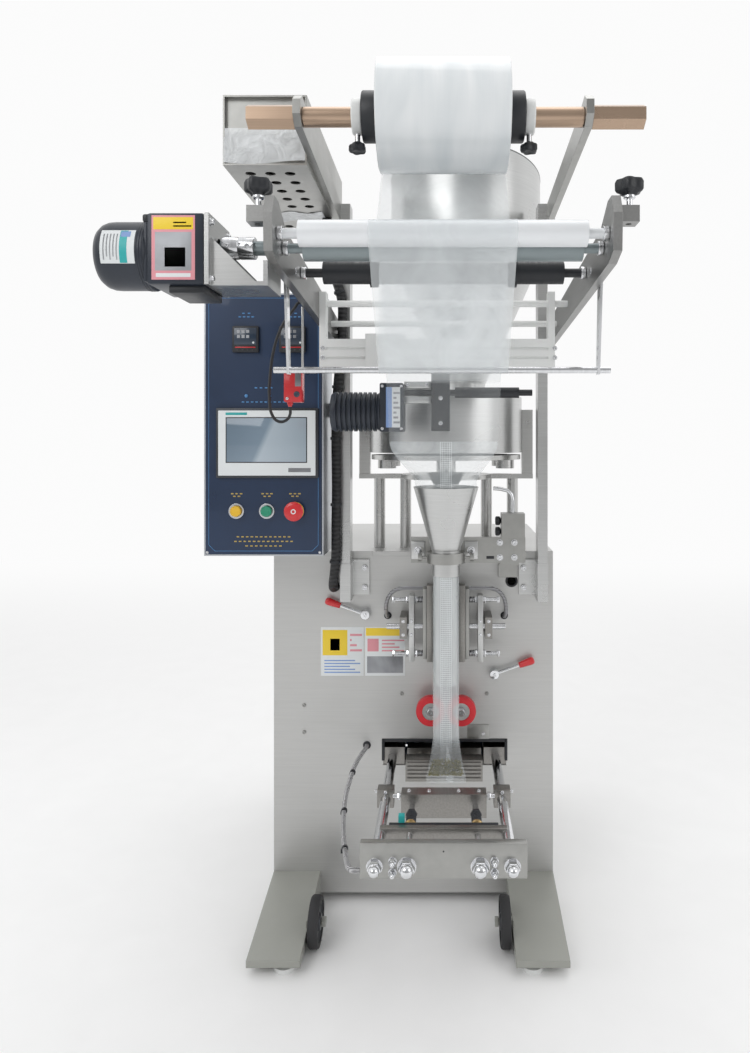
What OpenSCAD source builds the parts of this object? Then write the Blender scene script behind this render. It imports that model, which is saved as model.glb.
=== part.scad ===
// Vertical form fill sealer for small granule bags.
// Millimetres, +Z up, front faces -Y, origin on the floor under the middle of the outline.

/* [Cabinet] */
// Width of the cabinet
cab_w = 600; // [560:1:740]
// Depth of the cabinet
cab_d = 520; // [420:1:640]
// Height of the cabinet's top face above the floor
cab_top = 754; // [740:1:770]
// Height of the cabinet's underside above the floor
cab_bottom = 20; // [16:1:40]
// Sheet thickness of the cabinet
sheet = 3; // [2:0.5:5]
// Distance from the film line to the cabinet's centre line
cab_offset = 70; // [60:1:80]

/* [Feet] */
// Width of each foot
foot_w = 100; // [80:1:120]
// Reach of the feet in front of the cabinet
foot_l = 225; // [190:1:270]
// Radius of the transport wheels
wheel_r = 46; // [38:1:52]
// Width of the transport wheels
wheel_w = 20; // [15:1:25]

/* [Frame] */
// Distance between the centres of the two posts
post_gap = 412; // [400:1:420]
// Width and depth of each post
post_size = [20, 40]; // [15:1:60]
// Height of the posts' tops
post_top = 1486; // [1450:1:1520]
// Distance between the centres of the roller side bars
bar_gap = 460; // [456:1:470]
// Thickness of the side bars and the roll arms
bar_t = 12; // [8:1:14]
// Diameter of the chrome tie rods
tie_d = 12; // [8:1:14]

/* [Film] */
// Width of the film
film_w = 200; // [160:1:230]
// Diameter of the film roll
roll_d = 166; // [120:1:200]
// Diameter of the hexagonal roll shaft's round middle
shaft_d = 30; // [24:1:34]
// Length of the roll shaft
shaft_l = 610; // [560:1:640]
// Diameter of the two front rollers
front_roller_d = 36; // [30:0.5:36.5]
// Diameter of the rubber roller
rubber_roller_d = 35; // [28:0.5:40]
// Length of the front rollers
roller_l = 389; // [340:1:410]
// Diameter of the roller journals
journal_d = 14; // [10:0.5:16]
// Film thickness as modelled
film_t = 0.6; // [0.4:0.1:0.8]

/* [Control panel] */
// Width, depth and height of the panel box
panel = [236, 110, 519]; // [100:1:560]
// Diameter of the push buttons
button_d = 22; // [18:0.5:26]
// Travel of the push buttons
button_travel = 4; // [2:0.5:5]

/* [Feeder] */
// Radius of the dosing disc
disc_r = 165; // [150:1:170]
// Radius of the hopper's mouth
hopper_r = 170; // [140:1:190]
// Height of the hopper's rim at its sides
hopper_top = 1578; // [1500:1:1620]
// Number of dosing cups
cups = 6; // [4:1:6]

/* [Forming set] */
// Outer diameter of the forming tube
tube_d = 52; // [40:1:54]
// Radius of the forming collar's mouth
collar_r = 66; // [56:1:68]

/* [Sealers] */
// Length of the vertical sealing bars
bar_l = 166; // [140:1:180]
// Gap between each vertical bar and the film line
bar_open = 20; // [14:1:22]
// Width of the horizontal jaws
jaw_w = 160; // [130:1:176]
// Height of the horizontal jaws
jaw_h = 44; // [36:1:44]
// Diameter of the jaw guide rods
rod_d = 20; // [16:0.5:22]
// Distance between the centres of the jaw guide rods
rod_gap = 222; // [214:1:228]
// Radius of the draw-off rollers
draw_r = 31; // [26:0.5:33]

/* [Fits] */
// Radial running clearance of shafts in their bores
run = 0.05; // [0.02:0.01:0.1]
// Air gap between separate pieces that don't touch
air = 0.3; // [0.2:0.1:0.5]

/* [Hidden] */
$fn = 48;
film_x = 90;
front_y = 52;
frame_x = -4;
cab_x0 = -cab_offset - cab_w / 2;
cab_x1 = -cab_offset + cab_w / 2;
tube_y = -90;
post_y = -8;
sides = [-1, 1];

// places on the film's path, as [y, z]
roll_at = [-452, 1491];
white_at = [-595, 1272];
grey_at = [-559, 1261];
rubber_at = [-428, 1256];
dancer_at = [-450, 1101];
dancer_d = 10;
dancer_pivot = [-470, 1250];
journal = 24;
motor_x = -320;
motor_c = [grey_at[0], grey_at[1] - 12];
tie_at = [-250, 1240];
rod_z = 308;
collar_z = [719, 898];
bag_w = 84;
draw_z = 427;
sealer_z = 529;
feeder_y = 60;
disc_z = 951;
disc_t = 10;
cup_r = 18;
cup_pitch = 145;
hopper_at = [45, 110];
drum_z = [966, 1082];
carriage_y = -405;
coder_y = -200;
coder_z = 1082;
lever_at = [[-172, 621, 20], [103, 494, -20]];
button_x = [-413, -353, -298];
button_z = 853;
panel_x = -478;
panel_y = -130;
panel_z = 764;
wheel_y = -137;
function foot_edge(out) = out < 0 ? cab_x0 + foot_w : cab_x1 - foot_w;
wheel_places = [for (out = sides) [foot_edge(out) - out * (wheel_w / 2 + 4), wheel_y, wheel_r + air]];

// cord routes, chosen by hand
bundle_path = [[-246, -62, 1450], [-246, -62, 1410], [-238, -62, 1350], [-224, -62, 1315],
    [-215, -62, 1280], [-214, -62, 1230], [-216, -62, 1180], [-222, -62, 1120], [-226, -62, 1060],
    [-227, -62, 980], [-226, -62, 900], [-227, -62, 820], [-228, -60, 750], [-232, -54, 712],
    [-236, -42, 690], [-238, -22, 680], [-238, 0, 678]];
sensor_path = [[-262, -350, 1048], [-262, -350, 1036], [-268, -353, 1026], [-280, -356, 1024],
    [-290, -357, 1034], [-295, -356, 1060], [-295, -352, 1100], [-289, -346, 1150], [-276, -338, 1190],
    [-260, -330, 1216], [-250, -324, 1230], [-240.4, -324, 1230]];
jaw_path = [[-170, 3, 337], [-170, -12, 337], [-176, -36, 335], [-186, -70, 326], [-192, -115, 313],
    [-194, -170, 300], [-189, -230, 291], [-180, -290, 289], [-170, -340, 291], [-163, -374, 295],
    [-155, -396, 298], [-150, -398, 298], [-139.5, -398, 298]];
seal_path = [[-48.4, -47, 684], [-66, -47, 684], [-86, -46, 684], [-104, -44, 680], [-118, -40, 668],
    [-125, -34, 650], [-127, -24, 630], [-125, -8, 616], [-125, 3, 616]];

// ---------- helpers ----------
// moves into the machine's own frame: x from the film line, y from the cabinet's front face
module machine() {
    translate([film_x, front_y, 0]) children();
}

module block(lo, hi) {
    translate(lo) cube(hi - lo);
}

module rod_x(d, x0, x1, at) {
    translate([x0, at[0], at[1]]) rotate([0, 90, 0]) cylinder(d = d, h = x1 - x0);
}

module rod_y(d, y0, y1, x, z, n = $fn) {
    translate([x, y1, z]) rotate([90, 0, 0]) cylinder(d = d, h = y1 - y0, $fn = n);
}

module rod_z(d, z0, z1, x, y, n = $fn) {
    translate([x, y, z0]) cylinder(d = d, h = z1 - z0, $fn = n);
}

module ring_x(d, bore, x0, x1, at) {
    difference() {
        rod_x(d, x0, x1, at);
        rod_x(bore, x0 - 1, x1 + 1, at);
    }
}

// a plate of thickness t whose outline is given as [y, z] points, from x
module side_plate(outline, x, t) {
    translate([x, 0, 0]) rotate([90, 0, 90]) linear_extrude(t) polygon(outline);
}

// a five-lobed hand knob standing on z = 0
module lobe_knob(d, h) {
    steps = 60;
    linear_extrude(h) polygon([for (i = [0:steps - 1])
        let (a = 360 * i / steps) d * (0.44 + 0.06 * cos(5 * a)) * [cos(a), sin(a)]]);
}

// direction from one route point to the next
function heading(path, i) =
    let (a = path[max(i - 1, 0)], b = path[min(i + 1, len(path) - 1)]) (b - a) / norm(b - a);

// one ring of points round a route point
function ring_points(path, i, r, n) =
    let (t = heading(path, i),
        side = abs(t[0]) > 0.9 ? [0, 1, 0] : [1, 0, 0],
        u = cross(t, side) / norm(cross(t, side)),
        v = cross(t, u))
    [for (k = [0:n - 1]) path[i] + r * (cos(360 * k / n) * u + sin(360 * k / n) * v)];

// a round tube swept along a route
module sweep(path, r, n = 8) {
    last = len(path) - 1;
    points = [for (i = [0:last]) each ring_points(path, i, r, n)];
    walls = [for (i = [0:last - 1]) for (k = [0:n - 1])
        [i * n + k, i * n + (k + 1) % n, (i + 1) * n + (k + 1) % n, (i + 1) * n + k]];
    start = [for (k = [n - 1:-1:0]) k];
    end = [for (k = [0:n - 1]) last * n + k];
    polyhedron(points, concat([start], walls, [end]), convexity = 4);
}

// ---------- cabinet and feet ----------
module cabinet_shell() color("silver") machine() {
    difference() {
        block([cab_x0, 0, cab_bottom], [cab_x1, cab_d, cab_top]);
        block([cab_x0 + sheet, sheet, cab_bottom + sheet], [cab_x1 - sheet, cab_d + 1, cab_top - sheet]);
        // recess that the jaw rods pass through
        block([-135, -1, rod_z - 14], [129, sheet + 1, rod_z + 40]);
        for (s = sides) rod_y(12 + 2 * run, -1, sheet + 1, s * (draw_r + 0.6), draw_z);
        for (s = sides) rod_y(8.6, -1, sheet + 1, s * 125, 616);
        rod_y(24, -1, sheet + 1, 141, 690);
        rod_y(9.6, -1, sheet + 1, -170, 337);
        rod_y(20.6, -1, sheet + 1, -238, 678);
        for (z = [365, 423]) rod_y(5, -1, sheet + 1, -305, z);
        for (x = [-95, 88]) rod_y(5, -1, sheet + 1, x, 448);
        for (l = lever_at) rod_y(12 + 2 * run, -1, sheet + 1, l[0], l[1]);
        rod_z(30, cab_top - sheet - 1, cab_top + 1, 0, feeder_y);
    }
    // turned-down lip of the top
    block([cab_x0, -2, cab_top - 10], [-222, 0, cab_top]);
    block([-158, -2, cab_top - 10], [110, 0, cab_top]);
}

module rear_cover() color("silver") machine() {
    inset = 12;
    difference() {
        block([cab_x0, cab_d, cab_bottom], [cab_x1, cab_d + sheet, cab_top]);
        for (i = [0:9]) block([-190, cab_d - 1, 120 + i * 16], [50, cab_d + sheet + 1, 126 + i * 16]);
    }
    for (x = [cab_x0 + inset, cab_x1 - inset])
        for (z = [60, 380, 710]) rod_y(9, cab_d + sheet, cab_d + sheet + 3, x, z);
}

// one foot: a folded channel whose top slopes down to the front
module foot(x) {
    top = 66;
    toe = 30;
    under = 17;
    difference() {
        side_plate([[0, under], [0, top], [-foot_l, toe], [-foot_l, under]], x, foot_w);
        side_plate([[1, under - 1], [1, top - 4], [-foot_l + 4, toe - 4], [-foot_l + 4, under - 1]],
            x + 3, foot_w - 6);
    }
    // tongue bolted under the cabinet, and the cross plate that takes the levelling pad
    block([x, 0, under], [x + foot_w, 300, cab_bottom]);
    block([x + 3, -foot_l + 4, under], [x + foot_w - 3, -foot_l + 44, under + 4]);
}

module feet() color([0.62, 0.62, 0.58]) machine() {
    foot(cab_x0);
    foot(cab_x1 - foot_w);
    // axle bolts of the transport wheels, each with a head and a nut
    for (w = wheel_places) {
        out = w[0] < 0 ? -1 : 1;
        inner = foot_edge(out);
        x0 = min(inner, inner - out * (wheel_w + 14));
        rod_x(12, x0, x0 + wheel_w + 14, [wheel_y, wheel_r + air]);
        rod_x(20, min(inner, inner - out * 3), max(inner, inner - out * 3), [wheel_y, wheel_r + air]);
        end = inner - out * (wheel_w + 14);
        rod_x(20, min(end, end + out * 7), max(end, end + out * 7), [wheel_y, wheel_r + air], $fn = 6);
    }
    for (w = wheel_places) {
        // ear that carries the axle beside the foot
        out = w[0] < 0 ? -1 : 1;
        inner = foot_edge(out);
        block([min(inner, inner + out * 3), wheel_y - 14, 30], [max(inner, inner + out * 3), wheel_y + 14, 56]);
    }
}

module level_pads() color("dimgray") machine() {
    for (x = [cab_x0 + 67, cab_x1 - 67]) {
        rod_z(38, 0, 9, x, -foot_l + 24);
        rod_z(12, 9, 17, x, -foot_l + 24);
    }
    for (x = [cab_x0 + 50, cab_x1 - 50]) rod_z(40, 0, cab_bottom, x, cab_d - 50);
}

module wheel(i) color([0.2, 0.2, 0.2]) machine() {
    w = wheel_places[i];
    difference() {
        union() {
            rod_x(2 * wheel_r, w[0] - wheel_w / 2, w[0] + wheel_w / 2, [w[1], w[2]]);
            rod_x(30, w[0] - wheel_w / 2 - 0.6, w[0] + wheel_w / 2 + 0.6, [w[1], w[2]]);
        }
        rod_x(12 + 2 * run, w[0] - wheel_w, w[0] + wheel_w, [w[1], w[2]]);
    }
}
module wheel_left() wheel(0);
module wheel_right() wheel(1);

// ---------- frame ----------
function post_x(s) = frame_x + s * post_gap / 2;
function bar_x(s) = frame_x + s * bar_gap / 2;

module frame_posts() color("gainsboro") machine() {
    for (s = sides) {
        x = post_x(s);
        half = post_size[0] / 2;
        block([x - half, post_y - post_size[1], 735], [x + half, post_y, post_top]);
        // heavier lower block and the angle bracket screwed to the cabinet
        block([x - half - 1, post_y - post_size[1] - 1, 655], [x + half + 1, post_y + 2, 735]);
        block([min(x, x - s * 46), -6, 662], [max(x, x - s * 46), -1, 737]);
        block([min(x, x - s * 46), -1, 662], [max(x, x - s * 46), 0, 737]);
        for (z = [678, 720]) rod_y(12, -11, -6, x - s * 36, z);
        // distance sleeves that carry the roller side bars
        for (z = [1212, 1230])
            rod_x(12, min(x + s * half, bar_x(s) - s * bar_t / 2), max(x + s * half, bar_x(s) - s * bar_t / 2),
                [-28, z]);
    }
}

module roll_arms() color("gainsboro") machine() {
    outline = [[post_y, 1446], [post_y, 1486], [-430, 1514], [-462, 1520], [-478, 1508], [-478, 1486], [-462, 1472]];
    for (s = sides) {
        x = post_x(s) + s * (post_size[0] / 2) + (s > 0 ? 0 : -bar_t);
        difference() {
            side_plate(outline, x, bar_t);
            // open seat that the shaft's journal turns in
            rod_x(journal + 2 * run, x - 1, x + bar_t + 1, roll_at);
        }
    }
}
module side_bars() color([0.72, 0.72, 0.7]) machine() {
    outline = [[-8, 1246], [-540, 1292], [-588, 1318], [-612, 1318], [-625, 1292], [-622, 1242], [-590, 1232], [-8, 1195]];
    for (s = sides) {
        x = bar_x(s) - bar_t / 2;
        difference() {
            side_plate(outline, x, bar_t);
            for (at = [white_at, grey_at, rubber_at]) rod_x(journal_d + 2 * run, x - 1, x + bar_t + 1, at);
            rod_x(10 + 2 * run, x - 1, x + bar_t + 1, dancer_pivot);
        }
        // block outside the bar that the pressure knob screws into
        out = bar_x(s) + s * bar_t / 2;
        difference() {
            block([min(out, out + s * 26), -610, 1284], [max(out, out + s * 26), -584, 1306]);
            rod_z(8 + 2 * run, 1283, 1307, out + s * 14, -597);
        }
    }
}
module cross_bar() color("whitesmoke") machine() {
    x0 = bar_x(-1) + bar_t / 2;
    x1 = bar_x(1) - bar_t / 2;
    difference() {
        block([x0 + 12, -262, 1124], [x1 - 36, -237, 1175]);
        for (z = [1141, 1158]) block([x0, -263, z - 2], [x1, -260, z + 2]);
    }
    // tie rods between the side bars, and the two hangers on the upper one
    rod_x(tie_d, x0, x1, tie_at);
    rod_x(tie_d, x0, x1, [-120, 1224]);
    for (x = [x0, x1 - 36]) difference() {
        block([x, -262, 1124], [x + 12, -237, 1260]);
        rod_x(tie_d, x - 1, x + 13, tie_at);
        if (x < 0) block([x + 11.9, -300, 1100], [x + 13, -200, 1200]);
    }
    // label plate with its screws
    block([-145, -265, 1118], [-73, -262, 1184]);
    for (z = [1128, 1172]) rod_y(7, -268, -265, -88, z);
}

module upper_box() color([0.45, 0.47, 0.48]) machine() {
    x1 = post_x(-1) - post_size[0] / 2 - bar_t;
    x0 = x1 - 140;
    difference() {
        block([x0, -360, 1451], [x1, 60, 1568]);
        block([x0 + 3, -361, 1454], [x1 - 3, 57, 1565]);
        for (j = [0:7]) for (i = [-1:1])
            translate([(x0 + x1) / 2 + i * 34, -320 + j * 45, 1450]) cylinder(d = 18, h = 5);
    }
    block([x0 + 3, -352, 1454], [x1 - 3, -349, 1565]);
}

// ---------- control panel ----------
module panel_box() color([0.75, 0.76, 0.78]) machine() {
    difference() {
        block([panel_x, panel_y, panel_z], [panel_x + panel[0], panel_y + panel[1], panel_z + panel[2]]);
        block([panel_x + 3, panel_y - 1, panel_z + 3],
            [panel_x + panel[0] - 3, panel_y + panel[1] - 3, panel_z + panel[2] - 3]);
    }
    // brackets to the left post and the film frame
    for (z = [1040, 1150])
        block([panel_x + panel[0], -40, z], [post_x(-1) - post_size[0] / 2, -32, z + 30]);
}

module panel_face() color([0.08, 0.14, 0.27]) machine() {
    edge = 4;
    difference() {
        block([panel_x + edge, panel_y - 2, panel_z + edge],
            [panel_x + panel[0] - edge, panel_y, panel_z + panel[2] - edge]);
        for (x = button_x) rod_y(16.6, panel_y - 3, panel_y + 1, x, button_z);
    }
    difference() {
        block([panel_x + 3, panel_y, panel_z + 3], [panel_x + panel[0] - 3, panel_y + 3, panel_z + panel[2] - 3]);
        for (x = button_x) rod_y(16.6, panel_y - 3, panel_y + 4, x, button_z);
    }
}

module touch_screen() color([0.35, 0.4, 0.45]) machine() {
    difference() {
        block([-452, panel_y - 12, 918], [-251, panel_y - 2, 1056]);
        block([-430, panel_y - 13, 950], [-274, panel_y - 10, 1036]);
    }
}

module heat_controllers() color([0.12, 0.13, 0.15]) machine() {
    for (x = [-394, -302]) {
        difference() {
            block([x - 26, panel_y - 10, 1165], [x + 26, panel_y - 2, 1217]);
            block([x - 20, panel_y - 11, 1190], [x + 20, panel_y - 9, 1210]);
        }
        for (i = [-1:1]) rod_y(5, panel_y - 12, panel_y - 10, x + i * 12, 1175);
    }
    for (x = [-394, -348, -302]) rod_y(7, panel_y - 5, panel_y - 2, x, 1080);
}

module button_collars() color("gainsboro") machine() {
    for (x = button_x) difference() {
        rod_y(x == button_x[2] ? 36 : 30, panel_y - 6, panel_y - 2, x, button_z);
        rod_y(button_d + 1, panel_y - 7, panel_y - 3.4, x, button_z);
        rod_y(15 + 2 * run, panel_y - 7, panel_y, x, button_z);
    }
}

module button(i, shade, d, lift) color(shade) machine() {
    x = button_x[i];
    rod_y(15, panel_y - lift, panel_y + 14, x, button_z);
    rod_y(d, panel_y - lift - 6, panel_y - lift, x, button_z);
}
module yellow_button() button(0, "gold", button_d, button_travel + 4);
module green_button() button(1, "seagreen", button_d, button_travel + 4);
module stop_button() button(2, "firebrick", 38, button_travel + 9);

// ---------- film roll ----------
module roll_shaft() color([0.66, 0.5, 0.38]) machine() {
    ends = [-shaft_l / 2, shaft_l / 2];
    arm = post_gap / 2 + post_size[0] / 2;
    lo = frame_x - arm - bar_t - 1;
    hi = frame_x + arm + bar_t + 1;
    translate([0, roll_at[0], roll_at[1]]) rotate([0, 90, 0]) {
        translate([0, 0, ends[0]]) cylinder(d = 38, h = lo - ends[0], $fn = 6);
        translate([0, 0, hi]) cylinder(d = 38, h = ends[1] - hi, $fn = 6);
    }
    rod_x(journal, lo, hi, roll_at);
    rod_x(shaft_d, lo + bar_t + 2, hi - bar_t - 2, roll_at);
}

module roll_chucks() color([0.1, 0.1, 0.11]) machine() {
    for (s = sides) {
        mid = s * (film_w / 2 + air) + frame_x;
        ring_x(76, shaft_d + 2 * run, min(mid, mid + s * 24), max(mid, mid + s * 24), roll_at);
        out = mid + s * 24;
        ring_x(54, shaft_d + 2 * run, min(out, out + s * 16), max(out, out + s * 16), roll_at);
        // clamp screw with its lobed knob hanging below
        translate([out + s * 8, roll_at[0], roll_at[1] - 25.5]) rotate([180, 0, 0]) {
            cylinder(d = 8, h = 18);
            translate([0, 0, 16]) lobe_knob(26, 14);
        }
    }
}

module film_roll() color([0.93, 0.95, 0.96], 0.9) machine() {
    ring_x(roll_d, shaft_d + 2 * air, frame_x - film_w / 2, frame_x + film_w / 2, roll_at);
}

// ---------- guide rollers ----------
module roller(d, l, at, tail = 0) {
    outer = bar_gap / 2 + bar_t / 2;
    rod_x(d, frame_x - l / 2, frame_x + l / 2, at);
    rod_x(journal_d, frame_x - outer - 2 - tail, frame_x + outer + 2, at);
}

module front_roller() color("whitesmoke") machine() roller(front_roller_d, roller_l, white_at);

module driven_roller() color([0.6, 0.63, 0.65]) machine() {
    roller(front_roller_d, roller_l, grey_at);
    // coupling to the motor's output shaft
    x0 = motor_x;
    rod_x(20, x0 + 6, frame_x - bar_gap / 2 - bar_t / 2 - 1, grey_at);
    rod_x(12, x0 - 6, x0 + 6, grey_at);
}

module rubber_roller() color([0.06, 0.07, 0.09]) machine() {
    roller(rubber_roller_d, 377, rubber_at);
    for (s = sides) {
        x = frame_x + s * (film_w / 2 + 9);
        rod_x(rubber_roller_d + 10, x - 6, x + 6, rubber_at);
    }
}

module dancer() color("silver") machine() {
    for (s = sides) {
        face = bar_x(s) + s * (bar_t / 2 + 1);
        outline = [[-482, 1258], [-458, 1258], [-444, 1094], [-456, 1094]];
        side_plate(outline, s > 0 ? face : face - 4, 4);
        rod_x(10, min(face - s * (bar_t + 1), face + s * 9), max(face - s * (bar_t + 1), face + s * 9),
            dancer_pivot);
        rod_x(16, min(face + s * 4, face + s * 9), max(face + s * 4, face + s * 9), dancer_pivot);
    }
    rod_x(dancer_d, frame_x - 262, frame_x + 258, dancer_at);
}

module pressure_knob(s) color([0.08, 0.09, 0.11]) machine() {
    x = bar_x(s) + s * (bar_t / 2 + 14);
    rod_z(8, 1288, 1322, x, -597);
    translate([x, -597, 1322]) lobe_knob(38, 22);
}
module knob_left() pressure_knob(-1);
module knob_right() pressure_knob(1);

// ---------- film motor ----------
module film_motor() color([0.09, 0.11, 0.15]) machine() {
    // square gearbox, round motor with a domed end, terminal box below
    difference() {
        block([motor_x - 80, motor_c[0] - 48, motor_c[1] - 48], [motor_x - 3, motor_c[0] + 48, motor_c[1] + 48]);
        rod_x(12 + 2 * run, motor_x - 8, motor_x, grey_at);
    }
    rod_x(94, motor_x - 146, motor_x - 80, motor_c);
    rod_x(84, motor_x - 162, motor_x - 146, motor_c);
    block([motor_x - 50, motor_c[0] - 40, motor_c[1] - 58], [motor_x - 4, motor_c[0] + 40, motor_c[1] - 48]);
}

module motor_bracket() color("silver") machine() {
    inner = bar_x(-1) - bar_t / 2;
    difference() {
        block([motor_x - 3, motor_c[0] - 48, motor_c[1] - 48], [motor_x + 3, motor_c[0] + 48, motor_c[1] + 48]);
        rod_x(26, motor_x - 4, motor_x + 4, grey_at);
        for (dy = [-38, 38]) for (dz = [-38, 38])
            rod_x(6.6, motor_x - 4, motor_x + 4, motor_c + [dy, dz]);
    }
    // shelf under the coupling that ties the bracket to the left side bar
    block([motor_x + 3, motor_c[0] - 40, motor_c[1] - 48], [inner - 6, motor_c[0] + 40, motor_c[1] - 42]);
    block([inner - 6, motor_c[0] - 40, motor_c[1] - 48], [inner, motor_c[0] + 40, motor_c[1] - 14]);
    for (dy = [-38, 34]) translate([motor_x + 3, motor_c[0] + dy, motor_c[1] - 42]) rotate([90, 0, 0])
        mirror([0, 0, 1]) linear_extrude(4) polygon([[0, 0], [60, 0], [0, 60]]);
}

// ---------- hopper and dosing disc ----------
module hopper() color("silver") machine() {
    wall = 2;
    neck = 45;
    translate([hopper_at[0], hopper_at[1], 0]) difference() {
        rotate_extrude($fn = 96) polygon([[neck - wall, 1086], [neck + 26, 1086], [neck + 26, 1090],
            [neck, 1090], [neck, 1120], [hopper_r, 1400], [hopper_r, hopper_top + 40],
            [hopper_r - wall, hopper_top + 40], [hopper_r - wall, 1400], [neck - wall, 1120]]);
        // sloping mouth, higher at the front
        translate([0, 0, hopper_top]) rotate([-11, 0, 0]) translate([-300, -300, 0]) cube([600, 600, 200]);
    }
}

module feeder_drum() color("gainsboro") machine() {
    r = disc_r + 3;
    translate([0, feeder_y, 0]) difference() {
        cylinder(r = r, h = drum_z[1] + 4, $fn = 96);
        translate([0, 0, -1]) cylinder(r = r - 2, h = drum_z[1] + 1, $fn = 96);
        translate([0, 0, -1]) cylinder(r = r + 1, h = drum_z[0] + 1, $fn = 96);
        translate([hopper_at[0], hopper_at[1] - feeder_y, drum_z[0]]) cylinder(r = 43, h = 200);
    }
}

module feeder_stand() color("silver") machine() {
    base = 100;
    difference() {
        union() {
            rod_z(2 * base, 908, 918, 0, feeder_y);
            block([-165, feeder_y - 16, 908], [-60, feeder_y + 16, 918]);
            block([60, feeder_y - 16, 908], [165, feeder_y + 16, 918]);
            rod_z(44, 918, 940, 0, feeder_y);
        }
        rod_z(24 + 2 * run, 900, 941, 0, feeder_y);
    }
    for (x = [-148, -90, 148, 90]) rod_z(25, cab_top, 908, x, feeder_y);
    // side posts that hold the drum
    for (s = sides) {
        block([min(s * 164, s * 192), feeder_y - 16, 908], [max(s * 164, s * 192), feeder_y + 16, 918]);
        block([min(s * (disc_r + 3.3), s * 192), feeder_y - 12, 918], [max(s * (disc_r + 3.3), s * 192), feeder_y + 12, 1060]);
    }
}

module dosing_disc() color("gainsboro") machine() translate([0, feeder_y, 0]) {
    difference() {
        translate([0, 0, disc_z]) cylinder(r = disc_r, h = disc_t, $fn = 96);
        for (i = [0:cups - 1]) rotate(i * 360 / cups) translate([0, -cup_pitch, disc_z - 1]) cylinder(r = cup_r, h = disc_t + 2);
    }
    for (i = [0:cups - 1]) rotate(i * 360 / cups) translate([0, -cup_pitch, disc_z - 18]) difference() {
        cylinder(r = cup_r + 1.5, h = 20);
        translate([0, 0, -1]) cylinder(r = cup_r, h = 22);
    }
    translate([0, 0, 700]) cylinder(d = 24, h = disc_z + 40 - 700);
}

// ---------- date coder ----------
module coder_motor() color([0.1, 0.12, 0.15]) machine() {
    at = [coder_y, 1046];
    rod_x(70, -215, -122, at);
    for (i = [0:6]) ring_x(74, 60, -208 + i * 11, -202 + i * 11, at);
    difference() {
        block([-122, coder_y - 36, 1008], [-78, coder_y + 36, 1098]);
        rod_x(12 + 2 * run, -90, -70, [coder_y, coder_z]);
    }
    difference() {
        block([-78, coder_y - 16, 1062], [-27, coder_y + 16, 1102]);
        rod_x(14, -90, -20, [coder_y, coder_z]);
    }
}

module coder_plate() color([0.14, 0.15, 0.17]) machine() {
    difference() {
        block([-27, coder_y - 30, 1010], [7, coder_y + 20, 1124]);
        rod_x(14, -28, 8, [coder_y, coder_z]);
    }
    // arm that hangs the plate from the cross bar
    difference() {
        block([-27, -240, 1124], [7, coder_y + 20, 1136]);
        block([-30, -263, 1100], [10, -237, 1200]);
    }
}

module coder_roller() color([0.07, 0.07, 0.08]) machine() {
    rod_x(12, -88, 162, [coder_y, coder_z]);
    rod_x(20, 17, 137, [coder_y, coder_z]);
}

// ---------- forming set ----------
module forming_set() color("silver") machine() translate([0, tube_y, 0]) {
    r = tube_d / 2;
    // product funnel and forming tube
    rotate_extrude($fn = 72) polygon([[r - 1.5, 500], [r, 500], [r, 905], [40, 926], [38, 926], [r - 1.5, 906]]);
    // collar that the film is drawn down into
    rotate_extrude($fn = 72) polygon([[r + 2, collar_z[0]], [r + 3.5, collar_z[0]], [r + 3.5, 770],
        [collar_r, collar_z[1]], [collar_r - 1.5, collar_z[1]], [r + 2, 770]]);
    // three webs that hang the tube in the collar
    for (a = [90, 210, 330]) rotate(a) translate([r - 0.5, -1, 880]) cube([collar_r - r - 5, 2, 18]);
}

module collar_clamp() color("gainsboro") machine() {
    r = tube_d / 2 + 3.5;
    // upright plate behind the collar, and the ring that grips its neck
    plate_y = tube_y + r + 6.5;
    block([-73, plate_y, 738], [165, plate_y + 12, 791]);
    difference() {
        rod_z(2 * r + 18, 745, 766, 0, tube_y);
        rod_z(2 * (r + air), 730, 770, 0, tube_y);
    }
    // arm to the cabinet's front, and the box that stands on the plate's end
    block([112, plate_y, 733], [152, 0, 743]);
    block([112, -12, 700], [152, 0, 733]);
    block([114, plate_y - 20, 791], [162, plate_y + 12, 842]);
    for (x = [-52, 46]) rod_y(13, plate_y - 6, plate_y, x, 766);
    // thumb screws of the clamp ring
    for (s = sides) translate([s * (r + 7), tube_y, 755]) rotate([0, s * 90, 0]) {
        cylinder(d = 6, h = 14);
        translate([0, 0, 12]) cylinder(d = 16, h = 8);
    }
}

// ---------- film ----------
// the film's middle where it touches a roller at angle a
function rim(at, d, a) = at + (d / 2 + air + film_t / 2) * [cos(a), sin(a)];

// the film's middle along its wrap round a roller, from angle a0 to a1
function wrap(at, d, a0, a1) =
    let (steps = ceil(abs(a1 - a0) / 8)) [for (i = [0:steps]) rim(at, d, a0 + (a1 - a0) * i / steps)];

// one side of the film: its path moved sideways by half its thickness
function film_side(path, side) = [for (i = [0:len(path) - 1])
    let (t = heading(path, i)) path[i] + side * film_t / 2 * [-t[1], t[0]]];

function bearing(a, b) = atan2(b[1] - a[1], b[0] - a[0]);
// angle at which a straight run touches both rollers on the same side
function same_side(a, da, b, db, side) = bearing(a, b) + side * acos((da - db) / 2 / norm(b - a));
// angle at which a run leaves the first roller to reach the second on its other side
function cross_side(a, da, b, db, side) = bearing(a, b) + side * acos(((da + db) / 2 + 2 * air + film_t) / norm(b - a));

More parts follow.
